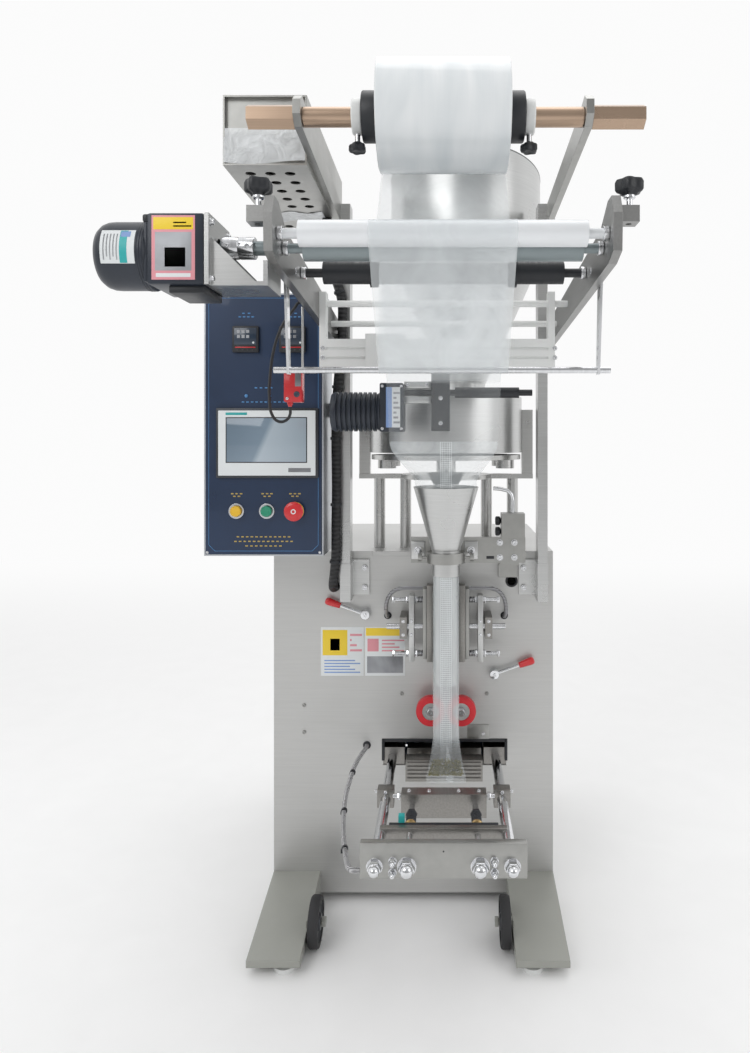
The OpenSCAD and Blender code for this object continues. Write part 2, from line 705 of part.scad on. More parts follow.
module film_web() color([0.9, 0.94, 0.96], 0.5) machine() {
    off_roll = same_side(roll_at, roll_d, grey_at, front_roller_d, 1);
    nip = bearing(grey_at, white_at);
    // angle left free on each side of the nip, where both wraps meet in its middle
    nip_skip = 10;
    off_white = same_side(white_at, front_roller_d, dancer_at, dancer_d, -1) + 360;
    off_dancer = cross_side(dancer_at, dancer_d, rubber_at, rubber_roller_d, -1) + 360;
    lead = [tube_y - 140, 990];
    off_rubber = bearing(rubber_at, lead) + acos((rubber_roller_d / 2 + air) / norm(lead - rubber_at));
    path = concat([rim(roll_at, roll_d, off_roll)],
        wrap(grey_at, front_roller_d, off_roll, nip - 360 + nip_skip),
        [(grey_at + white_at) / 2],
        wrap(white_at, front_roller_d, nip - 180 + nip_skip, off_white),
        wrap(dancer_at, dancer_d, off_white, off_dancer),
        wrap(rubber_at, rubber_roller_d, off_dancer - 180, off_rubber),
        [lead]);
    right = film_side(path, -1);
    side_plate(concat(film_side(path, 1), [for (i = [len(right) - 1:-1:0]) right[i]]),
        frame_x - film_w / 2, film_w);
    // the web narrows as it is drawn to the collar's rim
    hull() {
        translate([frame_x - film_w / 2, lead[0] - 1, lead[1] - film_t / 2]) cube([film_w, 1.5, film_t]);
        translate([-55, tube_y - collar_r - 2, 900]) cube([110, 1, film_t]);
    }
}

module film_tube() color([0.9, 0.94, 0.96], 0.5) machine() translate([0, tube_y, 0]) {
    r = tube_d / 2 + 0.3;
    rotate_extrude($fn = 72) polygon([[r, 400], [r + film_t, 400], [r + film_t, 880], [r, 880]]);
    // the filled bag, flattening to its end seal
    hull() {
        translate([0, 0, 400]) cylinder(r = r + film_t, h = 1, $fn = 32);
        translate([-bag_w / 2, -0.6, 297]) cube([bag_w, 1.2, 14]);
    }
}

// ---------- vertical sealers and draw rollers ----------
module vertical_sealer(s) color([0.7, 0.7, 0.68]) machine() {
    in = s * bar_open;
    z1 = sealer_z + bar_l;
    block([min(in, in + s * 28), -60, sealer_z], [max(in, in + s * 28), -32, z1]);
    block([min(s * 66, s * 77), -60, sealer_z + 4], [max(s * 66, s * 77), -32, z1 - 24]);
    for (z = [548, 660]) {
        rod_x(9, min(in + s * 28, s * 112), max(in + s * 28, s * 112), [-46, z]);
        rod_x(14, min(s * 106, s * 112), max(s * 106, s * 112), [-46, z]);
    }
    rod_x(12, min(in + s * 28, s * 124), max(in + s * 28, s * 124), [-46, 604]);
}
module sealer_left() vertical_sealer(-1);
module sealer_right() vertical_sealer(1);

module sealer_guides() color("silver") machine() {
    for (s = sides) difference() {
        block([min(s * 81, s * 96), -62, 582], [max(s * 81, s * 96), 0, 626]);
        rod_x(12 + 2 * run, min(s * 80, s * 97), max(s * 80, s * 97), [-46, 604]);
    }
}

module draw_roller(s) color([0.8, 0.08, 0.1]) machine() {
    x = s * (draw_r + 0.6);
    difference() {
        rod_y(2 * draw_r, -52, -34, x, draw_z);
        rod_y(34, -53, -50, x, draw_z);
    }
    rod_y(12, -54, 60, x, draw_z);
    rod_y(17, -57, -52, x, draw_z, 6);
    // drive gear inside the cabinet
    teeth = 20;
    translate([x, 46, draw_z]) rotate([90, 0, 0]) {
        cylinder(r = draw_r - 2.4, h = 12);
        for (i = [0:teeth - 1]) rotate(i * 360 / teeth + (s > 0 ? 180 / teeth : 0))
            translate([draw_r - 3, -1.6, 0]) cube([4.8, 3.2, 12]);
    }
}
module draw_roller_left() draw_roller(-1);
module draw_roller_right() draw_roller(1);

// ---------- horizontal jaws ----------
function rod_x_at(s) = frame_x + s * rod_gap / 2;

module jaw_carriage() color([0.6, 0.6, 0.58]) machine() {
    half = rod_gap / 2 + 24;
    block([frame_x - half, carriage_y, 288], [frame_x + half, carriage_y + 15, 345]);
    for (s = sides) {
        x = rod_x_at(s);
        rod_y(rod_d, carriage_y + 10, 150, x, rod_z);
        dome_nut(x, 24, carriage_y);
        dome_nut(frame_x + s * 59, 28, carriage_y);
        rod_y(13, carriage_y - 18, carriage_y + 1, frame_x + s * 82, rod_z, 6);
        // spring pin behind the plate, with its spring cup
        rod_y(12, carriage_y + 10, -209, frame_x + s * 59, rod_z);
        rod_y(22, -290, -240, frame_x + s * 59, rod_z);
        // clamp block on the rod
        block([x - 16, -186, rod_z - 16], [x + 16, -162, rod_z + 20]);
        rod_x(8, s > 0 ? x + 16 : x - 22, s > 0 ? x + 22 : x - 16, [-174, rod_z + 14]);
    }
    // cross piece between the rods
    block([rod_x_at(-1), -312, 298], [rod_x_at(1), -298, 320]);
}

// a domed nut whose flat face sits at y
module dome_nut(x, d, y) {
    rod_y(d, y - 22, y + 1, x, rod_z, 6);
    // its dome ends in a small flat
    r = d * 0.42;
    translate([x, y - 22, rod_z]) rotate([90, 0, 0]) rotate_extrude() intersection() {
        circle(r);
        translate([0, -1]) square([d, r + 1 - 0.15]);
    }
}

module front_jaw() color([0.5, 0.5, 0.5]) machine() {
    block([frame_x - jaw_w / 2, -209, rod_z - 22], [frame_x + jaw_w / 2, -180, rod_z - 22 + jaw_h]);
    // serrated sealing face
    for (i = [0:4]) block([frame_x - jaw_w / 2 + 4, -180, rod_z - 18 + i * 8], [frame_x + jaw_w / 2 - 4, -177, rod_z - 14 + i * 8]);
}

module rear_jaw() color([0.5, 0.5, 0.5]) machine() {
    block([frame_x - jaw_w / 2, -60, rod_z - 22], [frame_x + jaw_w / 2, -30, rod_z - 22 + jaw_h]);
    for (i = [0:4]) block([frame_x - jaw_w / 2 + 4, -63, rod_z - 18 + i * 8], [frame_x + jaw_w / 2 - 4, -60, rod_z - 14 + i * 8]);
    for (s = sides) rod_y(18, -30, 120, frame_x + s * 50, rod_z);
}

module rod_bushings() color("darkgoldenrod") machine() {
    for (s = sides) {
        x = rod_x_at(s);
        difference() {
            block([x - 26, sheet, rod_z - 23], [x + 26, sheet + 40, rod_z + 23]);
            rod_y(rod_d + 2 * run, 0, sheet + 41, x, rod_z);
        }
    }
    // middle block for the rear jaw's two pins
    difference() {
        block([frame_x - 80, sheet + 8, rod_z - 40], [frame_x + 80, sheet + 38, rod_z + 18]);
        for (s = sides) rod_y(18 + 2 * run, 0, sheet + 50, frame_x + s * 50, rod_z);
    }
    block([frame_x - 80, sheet, rod_z - 40], [frame_x + 80, sheet + 8, rod_z - 18]);
}

module main_motor() color([0.25, 0.35, 0.5]) machine() {
    // drive motor, reduction gearbox and the bed plate they stand on
    block([-250, 200, cab_bottom + sheet], [120, 420, cab_bottom + sheet + 8]);
    block([-60, 250, cab_bottom + sheet + 8], [60, 370, 200]);
    rod_x(130, -230, -60, [310, 120]);
    for (x = [-90, 90]) difference() {
        block([x - 8, 286, cab_bottom + sheet + 8], [x + 8, 334, 290]);
        rod_x(20 + 2 * run, x - 9, x + 9, [310, 260]);
    }
}

module cam_shaft() color("dimgray") machine() {
    rod_x(20, -120, 120, [310, 260]);
    for (x = [-50, 50]) translate([x - 6, 310 + 8, 260]) rotate([0, 90, 0]) cylinder(d = 70, h = 12);
}

// ---------- levers ----------
module lever(i) color("silver") machine() {
    l = lever_at[i];
    translate([l[0], 0, l[1]]) rotate([0, l[2] < 0 ? 180 + l[2] : l[2], 0]) {
        translate([0, -air, 0]) rotate([90, 0, 0]) cylinder(d = 22, h = 20);
        translate([0, -air, 0]) rotate([-90, 0, 0]) cylinder(d = 12, h = 14);
        translate([0, -14, 0]) rotate([0, -90, 0]) cylinder(d = 8, h = 58);
        translate([-56, -14, 0]) rotate([0, -90, 0]) cylinder(d = 16, h = 34);
    }
}
module lever_left() lever(0);
module lever_right() lever(1);

// ---------- sensor and cords ----------
module photo_sensor() color([0.8, 0.1, 0.12]) machine() {
    block([-270, -364, 1056], [-240, -338, 1108]);
    rod_z(10, 1049, 1056, -262, -350);
    block([-242, -356, 1108], [-240, -344, 1216]);
}

module cable_bundle() color([0.07, 0.07, 0.08]) machine() sweep(bundle_path, 10, 10);

module sensor_cable() color([0.07, 0.07, 0.08]) machine() sweep(sensor_path, 2.5, 8);

module jaw_cable() color([0.6, 0.6, 0.6]) machine() sweep(jaw_path, 4.5, 8);

module sealer_cables() color([0.5, 0.5, 0.52]) machine() {
    for (s = sides) sweep([for (p = seal_path) [-s * p[0], p[1], p[2]]], 4, 8);
}

cabinet_shell();
rear_cover();
feet();
level_pads();
frame_posts();
roll_arms();
side_bars();
cross_bar();
upper_box();
panel_box();
panel_face();
touch_screen();
heat_controllers();
button_collars();
hopper();
feeder_drum();
feeder_stand();
coder_motor();
coder_plate();
forming_set();
collar_clamp();
film_web();
film_tube();
film_motor();
motor_bracket();
sealer_guides();
rod_bushings();
main_motor();
photo_sensor();
cable_bundle();
sensor_cable();
jaw_cable();
sealer_cables();
wheel_left();
wheel_right();
yellow_button();
green_button();
stop_button();
dosing_disc();
coder_roller();
roll_shaft();
roll_chucks();
film_roll();
front_roller();
driven_roller();
rubber_roller();
dancer();
knob_left();
knob_right();
sealer_left();
sealer_right();
lever_left();
lever_right();
draw_roller_left();
draw_roller_right();
jaw_carriage();
front_jaw();
rear_jaw();
cam_shaft();
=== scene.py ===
import math
import random

import bmesh
import bpy
from mathutils import Matrix, Vector


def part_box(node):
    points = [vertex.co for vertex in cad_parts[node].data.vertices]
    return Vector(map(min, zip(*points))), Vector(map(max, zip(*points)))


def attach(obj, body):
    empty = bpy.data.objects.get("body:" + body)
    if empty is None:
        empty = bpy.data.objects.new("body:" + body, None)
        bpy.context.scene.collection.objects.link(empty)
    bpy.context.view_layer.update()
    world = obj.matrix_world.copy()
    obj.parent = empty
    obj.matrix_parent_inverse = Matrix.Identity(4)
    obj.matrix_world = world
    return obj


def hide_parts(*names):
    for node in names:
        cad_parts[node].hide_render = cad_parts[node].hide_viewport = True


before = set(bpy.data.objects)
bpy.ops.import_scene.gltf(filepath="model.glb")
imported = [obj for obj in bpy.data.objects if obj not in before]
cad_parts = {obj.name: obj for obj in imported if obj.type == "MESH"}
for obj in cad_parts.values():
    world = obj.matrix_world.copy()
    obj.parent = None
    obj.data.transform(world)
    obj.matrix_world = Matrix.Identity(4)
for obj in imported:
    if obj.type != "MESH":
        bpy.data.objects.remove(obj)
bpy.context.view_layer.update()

PHOTO_W, PHOTO_H = 750, 1053
MM = 0.001
X, Y, Z = Vector((1, 0, 0)), Vector((0, 1, 0)), Vector((0, 0, 1))
SIDES = (-1, 1)
# the film line and the cabinet's front face, which part.scad counts its places from
FILM_X, FRONT_Y = 90, 52
scene = bpy.context.scene


def at(x, y, z):
    """A place given in part.scad's own millimetres."""
    return Vector(((x + FILM_X) * MM, (y + FRONT_Y) * MM, z * MM))


def middle(node):
    lo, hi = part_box(node)
    return (lo + hi) / 2


def mix(a, b, t):
    return a + (b - a) * t


def off(place, dx=0, dy=0, dz=0):
    """A place moved by so many millimetres."""
    return Vector(place) + Vector((dx, dy, dz)) * MM


def mm(profile):
    """Pairs of millimetres as pairs of metres."""
    return [(r * MM, h * MM) for r, h in profile]


# ---------- materials ----------
class Nodes:
    """A material's node tree with its shader, and short ways to add to it."""

    def __init__(self, name, rough, metallic=0.0, **values):
        self.material = bpy.data.materials.new(name)
        self.material.use_nodes = True
        self.tree = self.material.node_tree
        self.shader = self.tree.nodes["Principled BSDF"]
        self.set("Roughness", rough)
        self.set("Metallic", metallic)
        for key, value in values.items():
            self.set(key.replace("_", " "), value)
        self.place = self.add("TexCoord").outputs["Object"]

    def add(self, kind, **values):
        node = self.tree.nodes.new("ShaderNode" + kind)
        for key, value in values.items():
            if key in node.inputs:
                node.inputs[key].default_value = value
            else:
                setattr(node, key, value)
        return node

    def link(self, a, b):
        self.tree.links.new(a, b)

    def set(self, key, value):
        self.shader.inputs[key].default_value = value

    def noise(self, grain, detail=4.0, distortion=0.0):
        """Noise with so many grains a metre along X, Y and Z."""
        mapping = self.add("Mapping", Scale=grain)
        self.link(self.place, mapping.inputs["Vector"])
        noise = self.add("TexNoise", Scale=1.0, Detail=detail, Distortion=distortion)
        self.link(mapping.outputs["Vector"], noise.inputs["Vector"])
        return noise.outputs["Fac"]

    def between(self, fac, low, high, start=0.3, end=0.7):
        """Numbers from low to high as fac goes from start to end."""
        node = self.add("MapRange")
        for key, value in (("From Min", start), ("From Max", end), ("To Min", low), ("To Max", high)):
            node.inputs[key].default_value = value
        self.link(fac, node.inputs["Value"])
        return node.outputs["Result"]

    def ramp(self, fac, stops):
        node = self.add("ValToRGB")
        elements = node.color_ramp.elements
        while len(elements) < len(stops):
            elements.new(0.5)
        for element, (position, colour) in zip(elements, stops):
            element.position = position
            element.color = (*colour, 1)
        self.link(fac, node.inputs["Fac"])
        return node.outputs["Color"]

    def math(self, operation, a, b):
        node = self.add("Math", operation=operation)
        for socket, value in zip(node.inputs, (a, b)):
            if isinstance(value, (int, float)):
                socket.default_value = value
            else:
                self.link(value, socket)
        return node.outputs["Value"]

    def part(self, axis):
        split = self.add("SeparateXYZ")
        self.link(self.place, split.inputs["Vector"])
        return split.outputs[axis]

    def bump(self, height, strength, distance=0.001, edge=0.0008):
        """Relief, over edges that are rounded by edge metres."""
        node = self.add("Bump", Strength=strength, Distance=distance)
        self.link(height, node.inputs["Height"])
        if edge:
            bevel = self.add("Bevel", samples=4, Radius=edge)
            self.link(bevel.outputs["Normal"], node.inputs["Normal"])
        self.link(node.outputs["Normal"], self.shader.inputs["Normal"])

    def colour(self, socket):
        self.link(socket, self.shader.inputs["Base Color"])

    def rough(self, socket):
        self.link(socket, self.shader.inputs["Roughness"])


def tint(colour, k):
    return tuple(min(1.0, c * k) for c in colour)


def metal(name, colour, rough, grain, vary=0.1, edge=0.0008, strength=0.12, metallic=1.0):
    """Metal whose brushing has so many grains a metre along each axis."""
    n = Nodes(name, rough, metallic)
    brushing = n.noise(grain, 6.0)
    clouds = n.noise((5, 5, 5), 3.0, 0.4)
    n.colour(n.ramp(n.math("ADD", n.math("MULTIPLY", brushing, 0.55), n.math("MULTIPLY", clouds, 0.45)),
                    [(0.3, tint(colour, 1 - vary)), (0.7, tint(colour, 1 + vary))]))
    n.rough(n.between(clouds, rough * 0.8, rough * 1.25))
    n.bump(brushing, strength, 0.0006, edge)
    return n.material


def coating(name, colour, rough, grain=900, vary=0.08, strength=0.1, edge=0.0008, metallic=0.0, **values):
    """Paint or moulded plastic with a fine all-over grain and faint clouds."""
    n = Nodes(name, rough, metallic, **values)
    fine = n.noise((grain, grain, grain), 3.0)
    clouds = n.noise((9, 9, 9), 4.0, 0.5)
    n.colour(n.ramp(clouds, [(0.3, tint(colour, 1 - vary)), (0.7, tint(colour, 1 + vary))]))
    n.rough(n.between(clouds, rough * 0.85, min(1.0, rough * 1.2)))
    n.bump(fine, strength, 0.0004, edge)
    return n.material


def turned(name, colour, rough, pitch, axis, metallic=1.0, depth=0.15):
    """Turned metal or moulded rubber with fine rings along an axis, pitch rings a metre."""
    n = Nodes(name, rough, metallic)
    grain = [30.0, 30.0, 30.0]
    grain[axis] = pitch
    rings = n.noise(grain, 2.0)
    n.colour(n.ramp(rings, [(0.25, tint(colour, 0.88)), (0.75, tint(colour, 1.1))]))
    n.rough(n.between(rings, rough * 0.75, rough * 1.3))
    n.bump(rings, depth, 0.0005)
    return n.material


def clear_film(name, colour, alpha, rough=0.12, wrinkle=(14, 14, 4), strength=0.5):
    """Plastic film: a milky see-through skin whose shine breaks on soft wrinkles."""
    n = Nodes(name, rough, 0.0, IOR=1.5)
    soft = n.noise(wrinkle, 3.0, 0.8)
    n.colour(n.ramp(soft, [(0.3, tint(colour, 0.94)), (0.7, colour)]))
    n.link(n.between(soft, alpha * 0.82, min(1.0, alpha * 1.2)), n.shader.inputs["Alpha"])
    n.bump(soft, strength, 0.006, 0)
    return n


STEEL = metal("brushed_steel", (0.58, 0.585, 0.58), 0.3, (12, 12, 700))
STEEL_X = metal("brushed_steel_x", (0.56, 0.56, 0.55), 0.28, (8, 500, 500))
SATIN = metal("satin_plate", (0.4, 0.4, 0.385), 0.36, (60, 60, 60), 0.08)
BARS = metal("side_bar_steel", (0.34, 0.34, 0.335), 0.36, (500, 8, 500))
CABINET = metal("cabinet_sheet", (0.56, 0.56, 0.55), 0.42, (10, 10, 420), 0.05, 0.0014, 0.08, 0.75)
CHROME = turned("chrome", (0.75, 0.76, 0.78), 0.1, 400, 1, depth=0.04)
CHROME_X = turned("chrome_x", (0.74, 0.75, 0.77), 0.12, 300, 0, depth=0.04)
HARD = metal("ground_jaw_steel", (0.3, 0.29, 0.275), 0.34, (300, 20, 300), 0.16)
WHITE_ALU = metal("anodised_white", (0.8, 0.82, 0.84), 0.36, (30, 90, 90), 0.03, 0.0008, 0.03, 0.25)
GREY_ALU = metal("anodised_grey", (0.25, 0.29, 0.3), 0.36, (30, 90, 90), 0.05, 0.0008, 0.03, 0.6)
BRONZE = metal("anodised_bronze", (0.52, 0.38, 0.28), 0.3, (8, 500, 500), 0.08, metallic=0.9)
BRASS = turned("brass", (0.72, 0.52, 0.24), 0.25, 500, 1)
FOOT = coating("foot_paint", (0.37, 0.375, 0.345), 0.4, 700, 0.05, 0.12, 0.002, 0.25)
BLACK = coating("black_plastic", (0.016, 0.018, 0.022), 0.42, 1200, 0.3, 0.2)
MOTOR = coating("motor_enamel", (0.018, 0.024, 0.036), 0.34, 500, 0.25, 0.14, 0.0012)
DARK = metal("dark_plate", (0.06, 0.063, 0.07), 0.4, (200, 200, 30), 0.2, metallic=0.6)
NAVY = coating("panel_navy", (0.012, 0.03, 0.075), 0.3, 900, 0.14, 0.06, 0.0008, 0.1, Coat_Weight=0.3)
PANEL_EDGE = metal("panel_edge", (0.55, 0.57, 0.6), 0.35, (10, 10, 400))
RUBBER = turned("roller_rubber", (0.012, 0.014, 0.018), 0.42, 500, 0, 0.0)
TYRE = coating("wheel_tyre", (0.03, 0.03, 0.032), 0.7, 500, 0.3, 0.35)
RED_RUBBER = turned("red_rubber", (0.62, 0.02, 0.03), 0.42, 1500, 1, 0.0, 0.3)
WHITE = coating("white_nylon", (0.78, 0.79, 0.78), 0.4, 800, 0.04)
RED = coating("red_plastic", (0.6, 0.02, 0.025), 0.28, 700, 0.1, 0.06, Coat_Weight=0.4)
YELLOW = coating("yellow_plastic", (0.82, 0.5, 0.03), 0.3, 700, 0.06, 0.06, Coat_Weight=0.4)
GREEN = coating("green_plastic", (0.02, 0.28, 0.16), 0.3, 700, 0.1, 0.06, Coat_Weight=0.4)
TEAL = coating("teal_plastic", (0.03, 0.4, 0.4), 0.35)
GOLD_LINE = coating("warm_marks", (0.5, 0.36, 0.1), 0.5, 600)
BLUE_LINE = coating("blue_outline", (0.08, 0.24, 0.5), 0.4, 600)
LABEL = coating("label_white", (0.74, 0.77, 0.78), 0.45, 500, 0.03, 0.04, 0)
LABEL_YELLOW = coating("label_yellow", (0.86, 0.62, 0.04), 0.4, 500, 0.04, 0.04, 0)
LABEL_BLUE = coating("label_blue", (0.22, 0.34, 0.62), 0.45, 500, 0.1, 0.04, 0)
LABEL_PINK = coating("label_pink", (0.72, 0.3, 0.34), 0.45, 500, 0.1, 0.04, 0)
LABEL_GREY = coating("label_grey", (0.3, 0.31, 0.33), 0.5, 160, 0.7, 0.04, 0)
BLUE_MOTOR = coating("blue_enamel", (0.05, 0.11, 0.24), 0.4, 500)


def roll_material():
    """Wound clear film: milky white, with faint rings where the winding is tighter."""
    n = Nodes("wound_film", 0.16, 0.0, IOR=1.45, Coat_Weight=0.5, Coat_Roughness=0.06)
    rings = n.noise((260, 14, 14), 3.0)
    clouds = n.noise((22, 6, 6), 2.0, 0.6)
    n.colour(n.ramp(clouds, [(0.3, (0.7, 0.74, 0.76)), (0.7, (0.86, 0.88, 0.89))]))
    n.rough(n.between(rings, 0.12, 0.24))
    n.bump(rings, 0.12, 0.0012, 0.001)
    return n.material


def web_material():
    """Film of the web: milky where it is drawn flat, nearly clear where it dips towards the collar."""
    n = clear_film("web_film", (0.86, 0.9, 0.92), 0.42)
    base = n.shader.inputs["Alpha"].links[0].from_socket
    height = n.math("MULTIPLY", n.math("SUBTRACT", n.part("Z"), 1.085), 50.0)
    height = n.math("MINIMUM", n.math("MAXIMUM", height, 0.0), 1.0)
    n.link(n.math("MULTIPLY", base, n.between(height, 0.3, 1.0)), n.shader.inputs["Alpha"])
    return n.material


def tube_material():
    """Film of the tube, with the faint grid that is rolled into its front."""
    n = clear_film("tube_film", (0.86, 0.91, 0.93), 0.36, 0.1, (30, 30, 9), 0.7)
    lines = []
    for axis in ("X", "Z"):
        wave = n.math("FRACT", n.math("MULTIPLY", n.part(axis), 240.0), 0.0)
        lines.append(n.math("LESS_THAN", wave, 0.22))
    grid = n.math("MAXIMUM", *lines)
    # the flat bag below is clearer than the round tube
    rise = n.math("MULTIPLY", n.math("SUBTRACT", n.part("Z"), 0.34), 12.0)
    rise = n.between(n.math("MINIMUM", n.math("MAXIMUM", rise, 0.0), 1.0), 0.4, 1.0)
    narrow = n.math("LESS_THAN", n.math("ABSOLUTE", n.math("SUBTRACT", n.part("X"), FILM_X * MM), 0.0), 0.011)
    grid = n.math("MULTIPLY", grid, narrow)
    base = n.shader.inputs["Alpha"].links[0].from_socket
    grid = n.math("MULTIPLY", grid, 0.3)
    n.link(n.math("MULTIPLY", n.math("ADD", base, grid), rise), n.shader.inputs["Alpha"])
    return n.material


def ribbed(name, colour, rough, axis, pitch, metallic=0.0, depth=0.6):
    """A sleeve with even ribs across its run, pitch ribs a metre; its colour is painted darker in the troughs
    and lighter on the crests, as painted shade and painted highlight.
    """
    n = Nodes(name, rough, metallic)
    wave = n.math("SINE", n.math("MULTIPLY", n.part(axis), pitch * math.tau), 0.0)
    # painted shade in the rib troughs and painted highlight on the crests, both following the rib wave
    n.colour(n.ramp(n.between(wave, 0.0, 1.0, -1.0, 1.0), [(0.1, tint(colour, 0.5)),
                                                           (0.8, tint(colour, 1.2))]))
    n.rough(n.between(n.noise((80, 80, 80)), rough * 0.8, rough * 1.2))
    n.bump(wave, depth, 0.0015, 0)
    return n.material


def screen_material():
    """A dark glossy screen, with a pale slanting band painted across it as a painted reflection."""
    n = Nodes("screen_glass", 0.08, 0.0, Coat_Weight=0.6)
    reflection_slant = n.math("SUBTRACT", n.part("X"), n.math("MULTIPLY", n.part("Z"), 0.45))
    lo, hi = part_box("touch_screen")
    start = lo.x - hi.z * 0.45
    # the ramp's pale middle stops paint a bright band along the slant: a painted reflection
    n.colour(n.ramp(n.between(reflection_slant, 0.0, 1.0, start, start + (hi.x - lo.x) * 1.3),
                    [(0.0, (0.1, 0.15, 0.2)), (0.45, (0.2, 0.27, 0.34)), (0.5, (0.42, 0.49, 0.55)),
                     (0.9, (0.3, 0.37, 0.43))]))
    n.bump(n.noise((60, 60, 60)), 0.03, 0.0004, 0)
    return n.material


ROLL = roll_material()
TUBE = tube_material()
FILM = web_material()
PEEL = clear_film("peeling_film", (0.9, 0.93, 0.95), 0.7, 0.25, (30, 20, 30), 0.9).material
# these ribbed sleeves carry painted shade in their troughs and painted highlight on their crests
SLEEVE = ribbed("loom_sleeve", (0.02, 0.02, 0.022), 0.5, "Z", 110, depth=0.5)
BRAID = ribbed("steel_braid", (0.5, 0.5, 0.51), 0.3, "Y", 260, 0.9, 0.6)
BRAID_Z = ribbed("steel_braid_upright", (0.46, 0.46, 0.48), 0.32, "Z", 300, 0.9, 0.6)
CORD_BLACK = coating("cord_jacket", (0.02, 0.02, 0.022), 0.45, 500, 0.2)
SCREEN = screen_material()
SCREEN_DARK = coating("display_window", (0.03, 0.045, 0.07), 0.16, 400, 0.2, 0.02, Coat_Weight=0.5)
GRAIN = coating("granules", (0.17, 0.15, 0.04), 0.6, 300, 0.6)


# ---------- mesh building ----------
class Piece:
    """One Blender piece, built from shapes in metres, in the row frame."""

    def __init__(self, name):
        self.name = name
        self.bm = bmesh.new()
        self.materials = []

    def absorb(self, part, material, matrix=None):
        if material not in self.materials:
            self.materials.append(material)
        index = self.materials.index(material)
        for face in part.faces:
            face.material_index = index
        if matrix is not None:
            bmesh.ops.transform(part, matrix=matrix, verts=part.verts)
        temp = bpy.data.meshes.new("temp")
        part.to_mesh(temp)
        part.free()
        self.bm.from_mesh(temp)
        bpy.data.meshes.remove(temp)
        return self

    def block(self, lo, hi, material, bevel=0.001, turn=None):
        """A box between two corners, with rounded edges."""
        lo, hi = Vector(lo), Vector(hi)
        size, centre = hi - lo, (lo + hi) / 2
        part = bmesh.new()
        bmesh.ops.create_cube(part, size=1, matrix=Matrix.Diagonal((*size, 1)))
        width = min(bevel, min(abs(c) for c in size) * 0.45)
        bmesh.ops.bevel(part, geom=part.edges[:], offset=width, segments=2, affect="EDGES", profile=0.5)
        matrix = Matrix.Translation(centre)
        if turn is not None:
            matrix = matrix @ turn
        return self.absorb(part, material, matrix)

    def blocks(self, place, rows):
        """Boxes whose corners are millimetres from place: rows of lo, hi, material and bevel."""
        for lo, hi, material, bevel in rows:
            self.block(off(place, *lo), off(place, *hi), material, bevel)
        return self

    def lathe(self, profile, origin, axis, material, steps=40, lobes=0, depth=0.0):
        """Turns [radius, height] points round an axis; lobes give a star knob's outline."""
        part = bmesh.new()
        rings = []
        for radius, height in profile:
            if radius < 1e-6:
                rings.append([part.verts.new((0, 0, height))])
                continue
            ring = []
            for k in range(steps):
                a = math.tau * k / steps
                r = radius * (1 + depth * math.cos(lobes * a)) if lobes else radius
                ring.append(part.verts.new((r * math.cos(a), r * math.sin(a), height)))
            rings.append(ring)
        for low, high in zip(rings, rings[1:]):
            for k in range(steps):
                j = (k + 1) % steps
                if len(low) == 1 and len(high) == 1:
                    continue
                if len(low) == 1:
                    part.faces.new((low[0], high[j], high[k]))
                elif len(high) == 1:
                    part.faces.new((low[k], low[j], high[0]))
                else:
                    part.faces.new((low[k], low[j], high[j], high[k]))
        bmesh.ops.recalc_face_normals(part, faces=part.faces)
        turn = Vector(axis).to_track_quat("Z", "Y").to_matrix().to_4x4()
        return self.absorb(part, material, Matrix.Translation(origin) @ turn)

    def rod(self, start, end, radius, material, steps=24, chamfer=0.0006):
        """A round bar from start to end, with eased ends."""
        start, end = Vector(start), Vector(end)
        length = (end - start).length
        c = min(chamfer, radius * 0.4, length * 0.4)
        profile = [(0, 0), (radius - c, 0), (radius, c), (radius, length - c), (radius - c, length),
                   (0, length)]
        return self.lathe(profile, start, end - start, material, steps)

    def nut(self, centre, axis, across, height, material, bore=0.0):
        """A hexagon nut or bolt head with a chamfered, slightly domed face."""
        r = across / 2 / math.cos(math.pi / 6)
        profile = [(0, 0), (r, 0), (r, height * 0.85), (r * 0.9, height), (bore or r * 0.3, height)]
        profile += [(bore, height * 0.7), (0, height * 0.7)] if bore else [(0, height)]
        return self.lathe(profile, centre, axis, material, 6)

    def cap_screw(self, centre, axis, radius, material=None):
        """A socket head with its recess, on a washer."""
        steel = material or CHROME
        r = radius
        self.lathe([(0, 0), (r * 1.35, 0), (r * 1.35, r * 0.22), (r, r * 0.22), (r, r * 1.0),
                    (r * 0.88, r * 1.15),
                    (r * 0.5, r * 1.15), (r * 0.46, r * 0.6), (0, r * 0.6)], centre, axis, steel, 20)
        return self

    def tube(self, points, radius, material, steps=10, closed=False):
        """A round tube along points."""
        points = [Vector(p) for p in points]
        part = bmesh.new()
        rings = []
        count = len(points)
        normal = None
        for i, point in enumerate(points):
            if closed:
                ahead = points[(i + 1) % count] - points[i - 1]
            else:
                ahead = points[min(i + 1, count - 1)] - points[max(i - 1, 0)]
            ahead.normalize()
            if normal is None:
                normal = ahead.orthogonal().normalized()
            normal = (normal - ahead * normal.dot(ahead)).normalized()
            side = ahead.cross(normal)
            rings.append([part.verts.new(point + radius * (math.cos(math.tau * k / steps) * normal
                                                           + math.sin(math.tau * k / steps) * side))
                          for k in range(steps)])
        pairs = list(zip(rings, rings[1:])) + ([(rings[-1], rings[0])] if closed else [])
        for low, high in pairs:
            for k in range(steps):
                j = (k + 1) % steps
                part.faces.new((low[k], low[j], high[j], high[k]))
        if not closed:
            part.faces.new(rings[0][::-1])
            part.faces.new(rings[-1])
        bmesh.ops.recalc_face_normals(part, faces=part.faces)
        return self.absorb(part, material)

    def grid(self, rows, material):
        """A sheet through rows of points."""
        part = bmesh.new()
        made = [[part.verts.new(p) for p in row] for row in rows]
        for low, high in zip(made, made[1:]):
            for k in range(len(low) - 1):
                part.faces.new((low[k], low[k + 1], high[k + 1], high[k]))
        return self.absorb(part, material)

